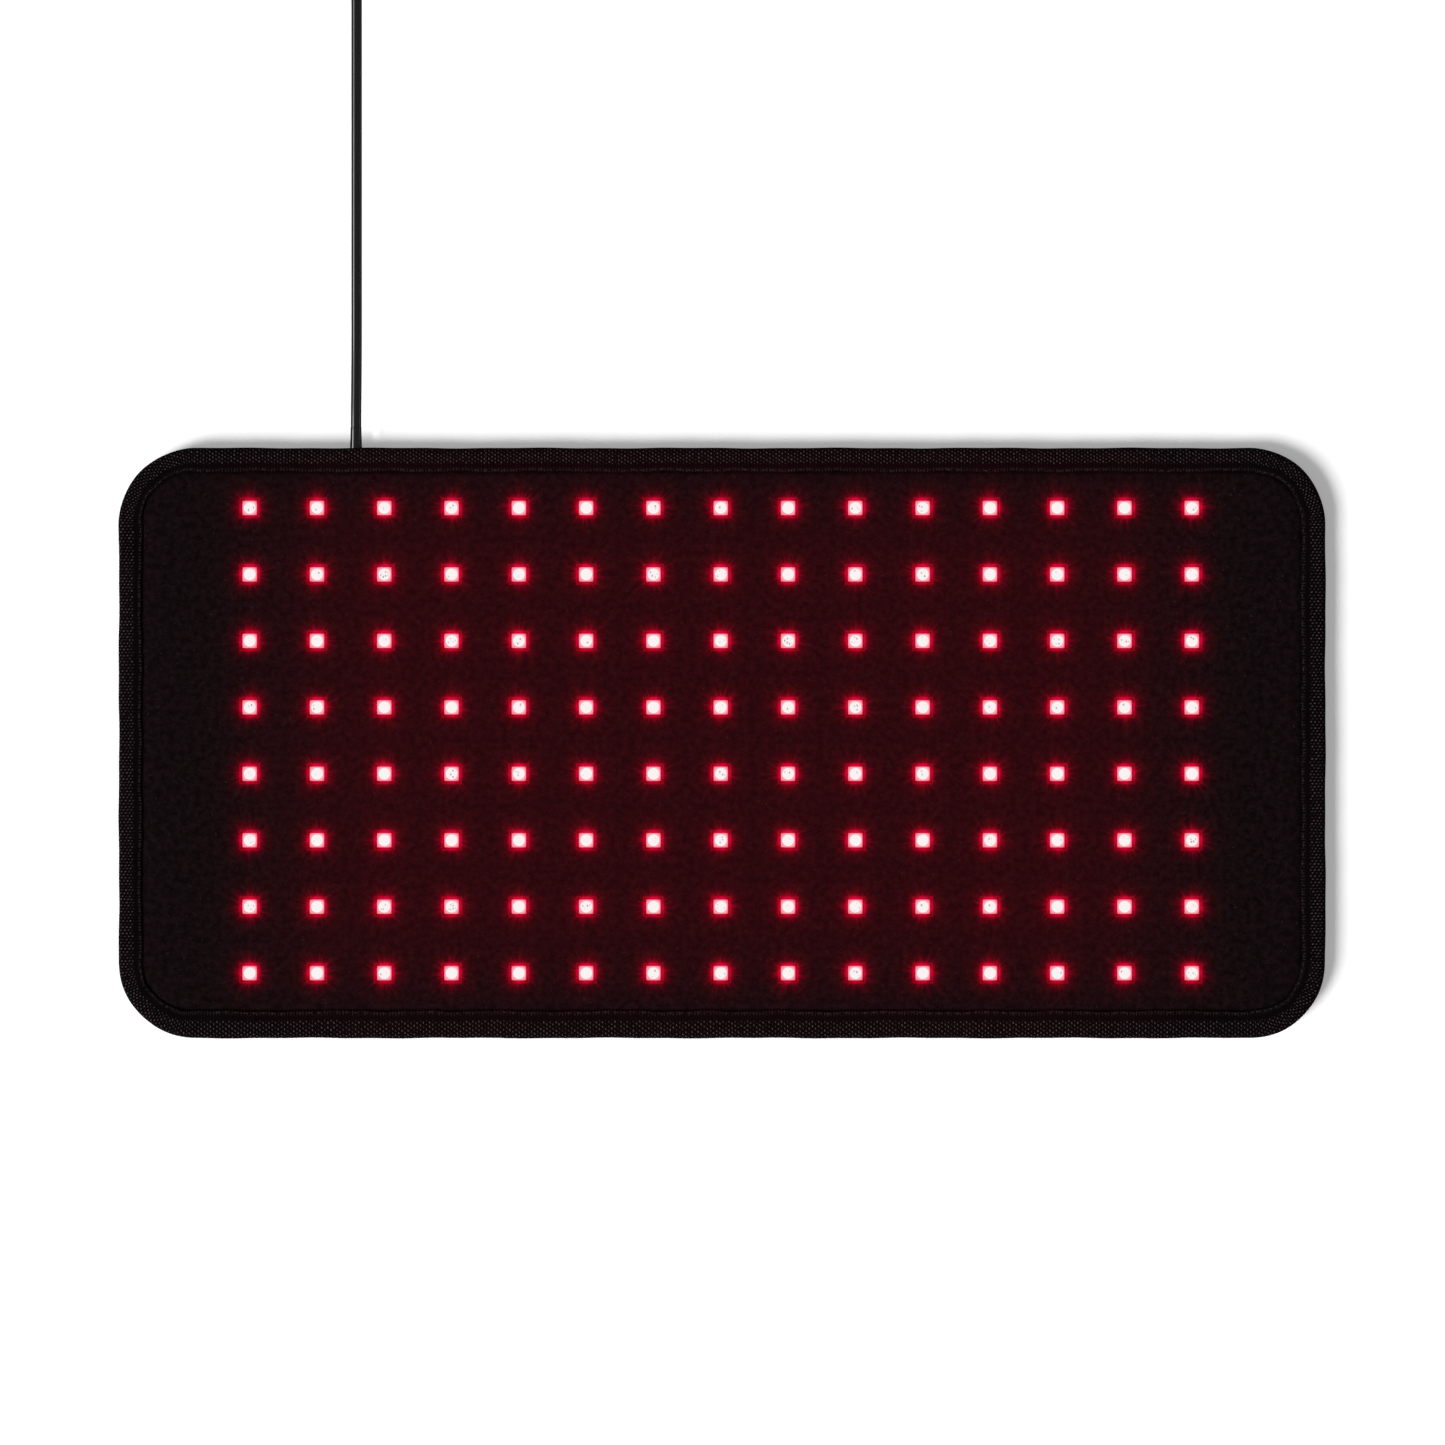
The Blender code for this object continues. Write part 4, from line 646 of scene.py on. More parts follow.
def twill_group(pad):
    """Twill tape: raised floats in slanting rows over its middle, and a plainer selvedge with cross marks.

    A float stands where a line across the tape meets a slanting row, and noise moves and dims each one."""
    tree, wires, given, result = group(
        "Twill", [("Run", "Vector", None), ("Float", "Float", 0.00110), ("Row", "Float", 0.00128),
                  ("Slant", "Float", 0.56)],
        [("Height", "Float"), ("Raised", "Float")])
    along, across = wires.axes(given["Run"])[:2]
    fold = tape_section(pad)[5][-1] / 2
    from_fold = wires.calc("ABSOLUTE", wires.calc("SUBTRACT", across, fold))
    stray = wires.times(wires.calc("SUBTRACT", wires.noise(given["Run"], 420.0), 0.5), 0.0004)
    row = wires.total(from_fold, wires.times(along, given["Slant"]), stray)

    def peak(value, pitch, low, high):
        turned = wires.times(wires.calc("DIVIDE", value, pitch), math.tau)
        return wires.ramp(wires.calc("COSINE", turned), low, high)

    floats = wires.times(peak(wires.total(along, stray), given["Float"], 0.0, 0.95),
                         peak(row, given["Row"], -0.1, 0.9))
    # Painted shade: up to 2 mm from the fold, over the tape's roll, the floats show at half strength, rising
    # to full by 3.8 mm, as the tape turns away from the light there.
    middle = wires.times(wires.ramp(from_fold, *WEAVE_START, 0.5, 1.0), wires.ramp(from_fold, *WEAVE_END))
    selvedge = wires.times(wires.ramp(from_fold, *SELVEDGE_START), wires.ramp(from_fold, *SELVEDGE_END))
    marks = wires.times(peak(wires.total(along, stray), given["Float"], 0.2, 0.9), selvedge, 0.22)
    uneven = wires.ramp(wires.noise(given["Run"], 900.0, 2.0, 0.6), 0.36, 0.64, 0.1, 1.2)
    fuzz = wires.noise(given["Run"], 3200.0, 2.0, 0.6)
    wires.feed(result["Height"], wires.total(wires.times(floats, 0.45), wires.times(marks, 0.4),
                                             wires.times(fuzz, 0.25), 0.2))
    # Raised is where the tape finish paints its highlight of pale yarn.
    wires.feed(result["Raised"], wires.times(wires.total(wires.times(floats, middle), marks), uneven))
    return tree


def pile_group():
    """Brushed loop pile: small round loops and the fibres between them."""
    tree, wires, given, result = group("Loop pile", [("Place", "Vector", None), ("Loop", "Float", 1100.0)],
                                       [("Height", "Float")])
    cells = wires.node("TexVoronoi", {"Vector": given["Place"], "Scale": given["Loop"]})
    curl = wires.calc("PINGPONG", wires.times(cells.outputs["Distance"], 2.6), 1.0)
    fibre = wires.noise(given["Place"], 3000.0, 3.0, 0.7)
    wires.feed(result["Height"], wires.total(wires.times(curl, 0.6), wires.times(fibre, 0.4)))
    return tree


def nearest_group(leds):
    """The LED nearest to a place: the offset from its middle, and a number of its own.

    Each offset is the distance to the nearest whole step of the LED grid, which ends at the last LEDs."""
    tree, wires, given, result = group("Nearest LED", [("Place", "Vector", None)],
                                       [("Offset", "Vector"), ("Number", "Float")])
    x, y = wires.axes(given["Place"])[:2]
    offsets, steps = [], []
    for value, first, pitch, last in (
            (x, column_x(0, leds), leds.column_pitch, LED_COLUMNS - 1),
            (y, row_y(LED_ROWS - 1, leds), leds.row_pitch, LED_ROWS - 1)):
        share = wires.calc("DIVIDE", wires.calc("SUBTRACT", value, first), pitch)
        cell = wires.calc("MINIMUM", wires.calc("MAXIMUM", wires.calc("ROUND", share), 0.0), float(last))
        offsets.append(wires.times(wires.calc("SUBTRACT", share, cell), pitch))
        steps.append(cell)
    wires.feed(result["Offset"], wires.vector(*offsets))
    wires.feed(result["Number"], wires.total(wires.times(steps[0], 1.73), wires.times(steps[1], 5.31)))
    return tree


def glow_group(leds):
    """Red light round each LED, in fine uneven rays, and a faint even glow over the field.

    The light falls with a power of the distance from the nearest LED, and its blue part with its square.
    Rays stretch the distance a little, most of all upward, and the window's edge catches a brighter rim."""
    tree, wires, given, result = group("LED glow", [("Place", "Vector", None), ("Rim", "Float", 0.0)],
                                       [("Light", "Color"), ("Near", "Float")])
    x, y = wires.axes(given["Place"])[:2]
    led = wires.use(shared("Nearest LED"), {"Place": given["Place"]})
    off_x, off_y = wires.axes(led["Offset"])[:2]
    square = wires.calc("MAXIMUM", wires.calc("ABSOLUTE", off_x), wires.calc("ABSOLUTE", off_y))
    around = wires.calc("SQRT", wires.total(wires.times(off_x, off_x), wires.times(off_y, off_y), 1e-12))
    radius = wires.total(wires.times(around, 0.9), wires.times(square, 0.1))
    upward = wires.calc("DIVIDE", off_y, around)
    heading = wires.vector(wires.times(wires.calc("DIVIDE", off_x, around), 6.5), wires.times(upward, 6.5),
                           led["Number"])
    ray = wires.ramp(wires.noise(heading, 1.0, 2.0, 0.6), 0.34, 0.66, -0.13, 0.13)
    reach = wires.total(1.0, wires.times(ray, wires.ramp(radius, *RAYS_START)), wires.times(upward, 0.03))
    share = wires.calc("DIVIDE", wires.times(reach, HALO_EDGE), wires.calc("MAXIMUM", radius, HALO_CORE))
    halo = wires.times(wires.calc("POWER", share, 4.6), 0.255)
    rim = wires.times(wires.ramp(square, *RIM_START), wires.ramp(square, *RIM_END), given["Rim"])
    field = wires.times(*[wires.ramp(wires.calc("ABSOLUTE", wires.calc("SUBTRACT", value, middle)), *fade)
                          for value, middle, fade in ((x, leds.shift_x, FIELD_END_X),
                                                      (y, leds.shift_y, FIELD_END_Y))])
    amount = wires.total(halo, rim, wires.times(field, 0.0186))
    wires.feed(result["Light"], wires.vector(amount, 0.0, wires.times(amount, amount, 0.09)))
    wires.feed(result["Near"], wires.calc("MAXIMUM", wires.ramp(radius, *NEAR_END),
                                          wires.times(field, 0.4)))
    return tree


def shared(name):
    """Return a shared node group by name, made the first time that it is asked for."""
    pad, leds = bpy.context.scene.pad_sizes, bpy.context.scene.led_sizes
    makers = {"Fine grain": grain_group, "Knit": knit_group, "Twill": lambda: twill_group(pad),
              "Loop pile": pile_group, "Nearest LED": lambda: nearest_group(leds),
              "LED glow": lambda: glow_group(leds)}
    return bpy.data.node_groups.get(name) or makers[name]()


def new_finish(name, **constants):
    """Return a new material, its wires and its Principled BSDF's sockets, with these constants on them."""
    material = bpy.data.materials.new(name)
    material.use_nodes = True
    principled = material.node_tree.nodes["Principled BSDF"]
    for title, value in constants.items():
        principled.inputs[title.replace("_", " ")].default_value = value
    return material, Wires(material.node_tree), principled.inputs


def colour4(colour, scale=1.0):
    """Return a colour as four numbers for a socket, scaled."""
    return (colour[0] * scale, colour[1] * scale, colour[2] * scale, 1.0)


def cover_finish(colours):
    """Knit cover: dark, with its loops as bump, lint specks, the LEDs' red light, and painted shade along the
    tape's inner edge.
    """
    material, wires, sockets = new_finish("front_knit", Specular_IOR_Level=0.02, Emission_Strength=1.0)
    place = wires.place("rest")
    knit = wires.use(shared("Knit"), {"Place": place})
    glow = wires.use(shared("LED glow"), {"Place": place, "Rim": 0.14})
    past_tape = wires.axes(wires.place("run"))["X"]
    # Painted shade: the knit and its red light darken to 0.42 at the tape's inner edge and clear 1.5 mm past
    # it, as if the tape shaded the cloth.
    painted_tape_shade = wires.ramp(past_tape, 0.0, 1.5 * MM, 0.42, 1.0)
    plain = wires.shade(knit["Mottle"], colours.cover, 0.45, 1.55)
    dusty = wires.blend(wires.times(knit["Lint"], 0.08), plain, colour4(tone(96, 90, 92)))
    lit = wires.blend(glow["Near"], dusty, colour4(colours.lit_cover))
    wires.feed(sockets["Base Color"], wires.scaled(lit, painted_tape_shade))
    wires.feed(sockets["Roughness"], wires.ramp(knit["Height"], 0.2, 0.9, 0.95, 0.75))
    texture = wires.times(wires.ramp(knit["Mottle"], 0.0, 1.0, 0.74, 1.26), painted_tape_shade)
    wires.feed(sockets["Emission Color"], wires.scaled(glow["Light"], texture))
    wires.feed(sockets["Normal"], wires.bump(knit["Height"], 0.00008, 0.6))
    return material


def tape_finish(colours):
    """Twill tape: dark, with a painted highlight on its raised yarn and the LEDs' red light painted in as
    emission.
    """
    material, wires, sockets = new_finish("twill_tape", Specular_IOR_Level=0.01, Emission_Strength=1.0)
    run = wires.place("run")
    glow = wires.use(shared("LED glow"), {"Place": wires.place("rest")})
    twill = wires.use(shared("Twill"), {"Run": run})
    plain = wires.shade(wires.noise(run, 90.0, 2.0, 0.5), colours.tape, 0.6, 1.4)
    # Painted highlight: where floats and marks stand up, the colour goes to the pale yarn colour.
    wires.feed(sockets["Base Color"], wires.blend(twill["Raised"], plain, colour4(colours.yarn)))
    wires.feed(sockets["Roughness"], wires.ramp(twill["Height"], 0.1, 0.9, 0.9, 0.65))
    # Painted light: the LEDs' red glow on the tape.
    wires.feed(sockets["Emission Color"], glow["Light"])
    wires.feed(sockets["Normal"], wires.bump(twill["Height"], 0.00018, 0.8))
    return material


def thread_finish(colours):
    """Twisted thread: fine slanting plies."""
    material, wires, sockets = new_finish("stitch_thread", Specular_IOR_Level=0.05)
    place = wires.place("rest")
    x, y = wires.axes(place)[:2]
    plies = wires.calc("SINE", wires.times(wires.total(x, y), math.tau / 0.0004))
    fibre = wires.noise(place, 2500.0, 2.0, 0.6)
    worn = wires.ramp(wires.noise(place, 130.0, 2.0, 0.6), 0.36, 0.62, 0.15, 1.0)
    wires.feed(sockets["Base Color"], wires.shade(wires.times(fibre, worn), colours.thread, 0.2, 2.0))
    wires.feed(sockets["Roughness"], wires.ramp(fibre, 0.3, 0.7, 0.75, 0.55))
    wires.feed(sockets["Normal"], wires.bump(plies, 0.00005, 0.8))
    return material


def pile_finish(colours):
    """Loop pile of the back cover, painted darker where the pile is low: painted shade between the loops."""
    material, wires, sockets = new_finish("loop_pile", Specular_IOR_Level=0.2)
    place = wires.place("rest")
    pile = wires.use(shared("Loop pile"), {"Place": place})
    plain = wires.shade(wires.noise(place, 45.0, 3.0, 0.6), colours.pile, 0.7, 1.3)
    # Painted shade: where the pile's height is low, the colour drops to 0.3 of the pile colour.
    wires.feed(sockets["Base Color"], wires.blend(pile["Height"], colour4(colours.pile, 0.3), plain))
    wires.feed(sockets["Roughness"], wires.ramp(pile["Height"], 0.2, 0.8, 1.0, 0.8))
    wires.feed(sockets["Normal"], wires.bump(pile["Height"], 0.0004, 0.9))
    return material


def foam_finish(colours):
    """Open-celled foam, painted darker in the cells' pits: painted shade."""
    material, wires, sockets = new_finish("foam", Roughness=0.95, Specular_IOR_Level=0.15)
    place = wires.place("rest")
    cells = wires.node("TexVoronoi", {"Vector": place, "Scale": 1800.0}).outputs["Distance"]
    # Painted shade: the colour follows the cells' depth, darkest in the pits.
    wires.feed(sockets["Base Color"], wires.shade(cells, colours.foam, 0.4, 1.3))
    wires.feed(sockets["Normal"], wires.bump(cells, 0.0002, 0.8))
    return material


def board_finish(colours):
    """White solder mask over copper tracks, painted dark red round each LED: painted shade in the window's
    gap and painted red light.
    """
    material, wires, sockets = new_finish("led_board", Emission_Strength=1.0)
    place = wires.place("object")
    glow = wires.use(shared("LED glow"), {"Place": place})
    tracks = wires.calc("PINGPONG", wires.times(wires.axes(place)["X"], 1000.0), 1.0)
    copper = wires.ramp(tracks, 0.35, 0.45)
    mask = wires.shade(copper, colours.board, 0.5, 0.65)
    grain = wires.noise(place, 1500.0, 2.0, 0.5)
    # Painted shade and red light: near each LED the mask goes to the cover's lit dark red.
    wires.feed(sockets["Base Color"], wires.blend(glow["Near"], mask, colour4(colours.lit_cover)))
    wires.feed(sockets["Roughness"], wires.ramp(grain, 0.3, 0.7, 0.30, 0.45))
    wires.feed(sockets["Emission Color"], glow["Light"])
    wires.feed(sockets["Normal"], wires.bump(wires.total(copper, wires.times(grain, 0.2)), 0.00003, 0.7))
    return material


def package_finish(colours, leds):
    """Moulded LED body that glows pink: brightest at the cup, deeper at its corners and down its sides."""
    material, wires, sockets = new_finish("led_body", Roughness=0.35, Emission_Strength=1.0)
    across, below = wires.axes(wires.place("run"))[:2]
    corner = wires.ramp(across, leds.cup * 1.15, leds.side * 0.64)
    grain = wires.noise(wires.place("object"), 4000.0, 2.0, 0.5)
    wires.feed(sockets["Base Color"], wires.shade(grain, colours.package, 0.85, 1.1))
    face = wires.blend(corner, colour4(colours.lit_body), colour4(colours.lit_rim))
    side = wires.ramp(below, 0.1 * MM, 0.9 * MM)
    wires.feed(sockets["Emission Color"], wires.blend(side, face, colour4((0.42, 0.005, 0.02))))
    wires.feed(sockets["Normal"], wires.bump(grain, 0.00002, 0.5))
    return material


def lens_finish(colours, leds):
    """Clear resin over the lit chips: bright, and in many a few small dark spots where the bonds sit."""
    material, wires, sockets = new_finish("led_lens", Roughness=0.12, Emission_Strength=1.0)
    led = wires.use(shared("Nearest LED"), {"Place": wires.place("object")})
    off_x, off_y = wires.axes(led["Offset"])[:2]
    around = wires.calc("SQRT", wires.total(wires.times(off_x, off_x), wires.times(off_y, off_y)))
    spot_place = wires.vector(off_x, wires.times(off_y, 0.75), wires.times(led["Number"], 0.01))
    spots = wires.node("TexVoronoi", {"Vector": spot_place, "Scale": 1100.0, "Randomness": 0.8}).outputs
    chosen = wires.ramp(wires.axes(spots["Color"])[0], 0.58, 0.68)
    shown = wires.node("TexWhiteNoise", {"W": led["Number"]}, noise_dimensions="1D").outputs["Value"]
    bond = wires.times(wires.ramp(spots["Distance"], 0.42, 0.26), chosen, wires.ramp(shown, 0.20, 0.55),
                       wires.ramp(around, leds.cup * 0.78, leds.cup * 0.62))
    wires.feed(sockets["Base Color"], wires.blend(bond, (0.12, 0.12, 0.12, 1.0), (0.04, 0.03, 0.03, 1.0)))
    wires.feed(sockets["Emission Color"], wires.blend(bond, colour4(colours.lens), colour4(colours.bond)))
    wires.feed(sockets["Normal"], wires.bump(wires.noise(led["Offset"], 500.0), 0.00003, 0.3))
    return material


def grained_finish(name, colour, scale, shades, gloss, relief=None, **constants):
    """Return a material with a fine grain, its wires and its sockets.

    The grain scales the colour between the two shades and varies the roughness: gloss holds how much, and
    the roughness itself. Relief holds the grain's depth and strength as bump, where it has any."""
    material, wires, sockets = new_finish(name, **constants)
    grain = wires.use(shared("Fine grain"), {"Place": wires.place("object"), "Scale": scale})
    wires.feed(sockets["Base Color"], wires.shade(grain["Height"], colour, *shades))
    wires.feed(sockets["Roughness"], wires.total(wires.times(grain["Variation"], gloss[0]), gloss[1]))
    if relief:
        wires.feed(sockets["Normal"], wires.bump(grain["Height"], *relief))
    return material, wires, sockets


def solder_finish(colours):
    """Solder joints at the LED's sides, dull, coloured in the cover's lit dark red: painted shade and painted
    red light.
    """
    material, wires, sockets = grained_finish("solder", colours.lit_cover, 3000.0, (1.0, 3.0), (0.3, 0.5),
                                              Emission_Strength=1.0, Specular_IOR_Level=0.05)
    glow = wires.use(shared("LED glow"), {"Place": wires.place("object")})
    wires.feed(sockets["Emission Color"], glow["Light"])
    return material


def sheath_finish(colours):
    """Glossy PVC sheath with a faint grain and dull patches, which shines less where it is seen edge on."""
    material, wires, sockets = grained_finish("cord_sheath", colours.sheath, 1400.0, (0.7, 1.2),
                                              (0.12, 0.15), (0.00001, 0.25), IOR=2.0)
    facing = wires.node("LayerWeight", {"Blend": 0.5}).outputs["Facing"]
    wires.feed(sockets["Specular IOR Level"], wires.ramp(facing, 0.16, 0.36, 1.0, 0.02))
    return material


def moulded_finish(name, colour, scale, depth, roughness, specular):
    """Moulded plastic or rubber with a spark-eroded grain and slightly uneven gloss."""
    return grained_finish(name, colour, scale, (0.85, 1.12), (0.4, roughness), (depth, 0.7),
                          Specular_IOR_Level=specular)[0]


def metal_finish(name, colour, roughness):
    """Plated or plain metal with a faint grain."""
    return grained_finish(name, colour, 3000.0, (0.85, 1.05), (0.3, roughness), (0.00001, 0.5),
                          Metallic=1.0)[0]


def circuit_finish():
    """Green circuit board with its tracks."""
    material, wires, sockets = new_finish("circuit", Roughness=0.4)
    x, y = wires.axes(wires.place("object"))[:2]
    slant = wires.times(wires.total(x, wires.times(y, 0.4)), 900.0)
    lines = wires.ramp(wires.calc("PINGPONG", slant, 1.0), 0.6, 0.7)
    green, track = colour4(tone(20, 66, 38)), colour4(tone(34, 92, 56))
    wires.feed(sockets["Base Color"], wires.blend(lines, green, track))
    wires.feed(sockets["Normal"], wires.bump(lines, 0.00004, 0.5))
    return material


def pipe_finish():
    """Clear light pipe over the status light."""
    return grained_finish("light_pipe", (1.0, 1.0, 1.0), 2000.0, (0.85, 0.95), (0.2, 0.25),
                          Transmission_Weight=0.8, IOR=1.49)[0]


def finish(slot_name):
    """Return the material of one of the record's slots, made the first time that it is asked for."""
    scene = bpy.context.scene
    colours, leds = scene.pad_colours, scene.led_sizes
    makers = {
        "front_fabric": lambda: cover_finish(colours), "tape": lambda: tape_finish(colours),
        "thread": lambda: thread_finish(colours), "loop_pile": lambda: pile_finish(colours),
        "foam": lambda: foam_finish(colours), "board": lambda: board_finish(colours),
        "led_package": lambda: package_finish(colours, leds), "led_lens": lambda: lens_finish(colours, leds),
        "lead_sheath": lambda: sheath_finish(colours),
        "case_plastic": lambda: moulded_finish("case_plastic", colours.case, 2600.0, 0.00005, 0.5, 0.25),
        "button_rubber": lambda: moulded_finish("button_rubber", colours.button, 3200.0, 0.00003, 0.6, 0.3),
        "clear_plastic": pipe_finish, "screw_steel": lambda: metal_finish("screw_steel", colours.steel, 0.35),
        "contact_metal": lambda: metal_finish("contact_metal", colours.metal, 0.22),
        "relief": lambda: moulded_finish("relief_vinyl", colours.relief, 2200.0, 0.00004, 0.40, 0.5),
        "circuit": circuit_finish, "solder": lambda: solder_finish(colours),
    }
    cache = scene.get("pad_finishes", {})
    known = bpy.data.materials.get(cache[slot_name]) if slot_name in cache else None
    if known is None:
        known = makers[slot_name]()
        scene["pad_finishes"] = {**dict(cache), slot_name: known.name}
    return known


def dress(piece, slot_name, look=None):
    """Give a new piece the finish of a record's slot, or another look under that slot."""
    piece.data.materials.append(finish(look or slot_name))
    return piece


def bend_piece(piece):
    """Bake a soft piece's transform into its points; such pieces end at the bend lines, in the gaps between
    LED columns.
    """
    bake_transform(piece)


def lay_soft(piece, stem, bend):
    """Bake a soft layer's transform and hide the frame's solids of the panels under it, which it stands in
    place of.
    """
    bend_piece(piece)
    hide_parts(*[f"{stem}_{panel}" for panel in SPAN_PANELS[bend]])


def fine_lines(marks, spacing):
    """Return rising places with all the marks among them and none further apart than the spacing."""
    marks = np.unique(np.round(np.asarray(marks, float), 7))
    counts = np.maximum(1, np.ceil(np.diff(marks) / spacing - 1e-6).astype(int))
    runs = [np.linspace(low, high, count, endpoint=False)
            for low, high, count in zip(marks, marks[1:], counts)]
    return np.concatenate(runs + [marks[-1:]])


def layer_grid(low, high, inset, pad, leds, spacing, windows=True):
    """Return grid places x and y for one span of a flat layer, its lines drawn in where the corners round.

    Past the corners' centres each line across the pad is shortened to the rounded outline's reach."""
    centre = pad.length / 2 - pad.corner
    radius = pad.corner - inset
    half_y = pad.width / 2 - inset
    turn = radius * np.sin(np.linspace(0, math.pi / 2, 15))
    marks_x = [max(low, -centre), min(high, centre)]
    marks_y = [side * (half_y - inward) for inward in (0.0, EDGE_LINE, EDGE_BAND) for side in (-1, 1)]
    if windows:
        half = leds.side / 2 + leds.clearance
        marks = np.concatenate([WINDOW_LIPS - half, half - WINDOW_LIPS])
        columns = np.array([column_x(column, leds) for column in range(LED_COLUMNS)])
        columns = columns[(columns > low) & (columns < high)]
        marks_x = np.concatenate([marks_x, (columns[:, None] + marks).ravel()])
        rows = np.array([row_y(row, leds) for row in range(LED_ROWS)])
        marks_y = np.concatenate([marks_y, (rows[:, None] + marks).ravel()])
    lines_x = fine_lines(marks_x, spacing)
    if low < -centre:
        lines_x = np.concatenate([(-centre - turn)[:0:-1], lines_x])
    if high > centre:
        lines_x = np.concatenate([lines_x, centre + turn[1:]])
    lines_y = fine_lines(marks_y, spacing)
    near_edge = lines_y[np.abs(lines_y) > half_y - EDGE_BAND]
    dense = np.concatenate([near_edge, (near_edge[1:] + near_edge[:-1]) / 2])
    dense = dense[np.abs(dense) > half_y - EDGE_BAND]
    lines_y = np.unique(np.round(np.concatenate([lines_y, dense]), 7))
    over = np.maximum(np.abs(lines_x) - centre, 0)
    reach = pad.width / 2 - pad.corner + np.sqrt(np.maximum(radius ** 2 - over ** 2, 0))
    x = np.repeat(lines_x[:, None], len(lines_y), axis=1)
    y = reach[:, None] / half_y * lines_y[None, :]
    return x, y


def window_depth(x, y, leds):
    """Return how far each grid place lies from the nearest window's edge, in metres, by square distance."""
    offsets = []
    for value, first, pitch, count in ((x, column_x(0, leds), leds.column_pitch, LED_COLUMNS),
                                       (y, row_y(LED_ROWS - 1, leds), leds.row_pitch, LED_ROWS)):
        cell = np.clip(np.round((value - first) / pitch), 0, count - 1)
        offsets.append(np.abs((value - first) - pitch * cell))
    return np.maximum(np.maximum(*offsets) - (leds.side / 2 + leds.clearance), 0)


def window_mask(x, y, leds):
    """Return which cells of a grid hold cloth: all but those inside a window."""
    middle_x = (x[:-1, :-1] + x[1:, 1:]) / 2
    middle_y = (y[:-1, :-1] + y[1:, 1:]) / 2
    return window_depth(middle_x, middle_y, leds) > 0


def cover_grid(low, high, pad, leds, windows=True):
    """Return a cover's grid places x and y for one span, and how far each lies past the tape's inner edge."""
    x, y = layer_grid(low, high, pad.cover_inset, pad, leds, COVER_SPACING, windows)
    inward, normal_x, normal_y = edge_distance(x, y, pad)
    at_corner = normal_x ** 2 + normal_y ** 2 > 0.5
    return x, y, inward - np.where(at_corner, tape_width(normal_x, normal_y, pad), pad.tape_top)


def slack(x, y):
    """Return the gentle unevenness of taut cloth, from -1 to 1: a few crossed waves."""
    return (0.45 * np.sin(61 * x + 23 * y + 0.7) * np.cos(47 * y + 1.1)
            + 0.35 * np.sin(143 * x - 38 * y + 2.1) + 0.20 * np.sin(97 * y + 171 * x * y * 10 + 0.4))


class PAD_OT_stage(bpy.types.Operator):
    """Add the camera, the floor, the lamps, and a sky that shows a bright panel on the left in reflections"""
    bl_idname = "pad.stage"
    bl_label = "Stage"

    def execute(self, context):
        scene = context.scene
        settings, pad = scene.pad_stage, scene.pad_sizes
        data = bpy.data.cameras.new("camera")
        data.sensor_width = settings.sensor
        data.lens = settings.sensor * settings.height / settings.span
        camera = bpy.data.objects.new("camera", data)
        camera.location = (settings.camera_x, settings.camera_y, pad.front_top + settings.height)
        scene.collection.objects.link(camera)
        scene.camera = camera

        self.add_lamp("key", settings.key, settings.key_size, KEY_DIRECTION)
        self.add_lamp("side", settings.side, settings.side_size, SIDE_DIRECTION)
        self.add_sky(scene, settings)
        self.add_floor(scene, settings, pad)
        scene.view_settings.view_transform = "Standard"
        return {"FINISHED"}

    def add_sky(self, scene, settings):
        """White for the camera and through clear pieces, a bright panel in reflections, and dim otherwise."""
        world = bpy.data.worlds.new("sky")
        world.use_nodes = True
        wires = Wires(world.node_tree)
        background = world.node_tree.nodes["Background"]
        heading = wires.axes(wires.node("TexCoord").outputs["Generated"])
        lean = wires.calc("ARCTAN2", wires.times(heading["X"], -1.0), heading["Z"])
        panel = wires.times(wires.ramp(lean, *PANEL_START), wires.ramp(lean, *PANEL_END))
        ray = wires.node("LightPath").outputs
        plain = wires.calc("MAXIMUM", ray["Is Camera Ray"], ray["Is Transmission Ray"])
        glossy = wires.times(ray["Is Glossy Ray"], wires.ramp(panel, 0.0, 1.0, settings.gloss, 1.0))
        rest = wires.calc("SUBTRACT", 1.0, wires.calc("MAXIMUM", plain, ray["Is Glossy Ray"]))
        wires.feed(background.inputs["Strength"], wires.total(plain, glossy, wires.times(rest, settings.sky)))
        background.inputs["Color"].default_value = (1, 1, 1, 1)
        scene.world = world

    def add_floor(self, scene, settings, pad):
        """A square, lifted to white for the camera alone, and more so beside the lead as seen from above."""
        half = settings.floor_side / 2
        corners = np.array([[-half, -half, 0], [half, -half, 0], [half, half, 0], [-half, half, 0]], float)
        floor = add_mesh("floor", corners, [[0, 1, 2, 3]])
        material, wires, sockets = new_finish("floor", Roughness=1.0, Specular_IOR_Level=0.0)
        sockets["Base Color"].default_value = colour4(scene.pad_colours.floor)
        x, y = wires.axes(wires.place("object"))[:2]
        beside = wires.ramp(wires.node("LayerWeight", {"Blend": 0.5}).outputs["Facing"], *SEEN_FROM_ABOVE)
        for value, origin, fades in ((x, LEAD_POINTS[0][0], STRIP_ACROSS), (y, pad.width / 2, STRIP_ALONG)):
            for start, end in fades:
                beside = wires.times(beside, wires.ramp(value, origin + start, origin + end))
        lift = wires.total(settings.floor_lift, wires.times(beside, settings.lead_lift))
        camera_ray = wires.node("LightPath").outputs["Is Camera Ray"]
        glow = wires.node("Emission", {"Strength": wires.times(camera_ray, lift)})
        both = wires.node("AddShader")
        nodes = material.node_tree.nodes
        for source, socket in ((nodes["Principled BSDF"], both.inputs[0]), (glow, both.inputs[1]),
                               (both, nodes["Material Output"].inputs["Surface"])):
            wires.feed(socket, source.outputs[0])
        floor.data.materials.append(material)

    def add_lamp(self, name, strength, size, direction):
        """A sun lamp shines down its own -Z, so it is tilted from upright and then swung round Z."""
        x, y, z = direction
        lamp = bpy.data.lights.new(name, "SUN")
        lamp.energy = strength
        lamp.angle = size
        placed = bpy.data.objects.new(name, lamp)
        placed.rotation_euler = (math.atan2(math.hypot(x, y), -z), 0.0, math.atan2(-x, y))
        bpy.context.scene.collection.objects.link(placed)


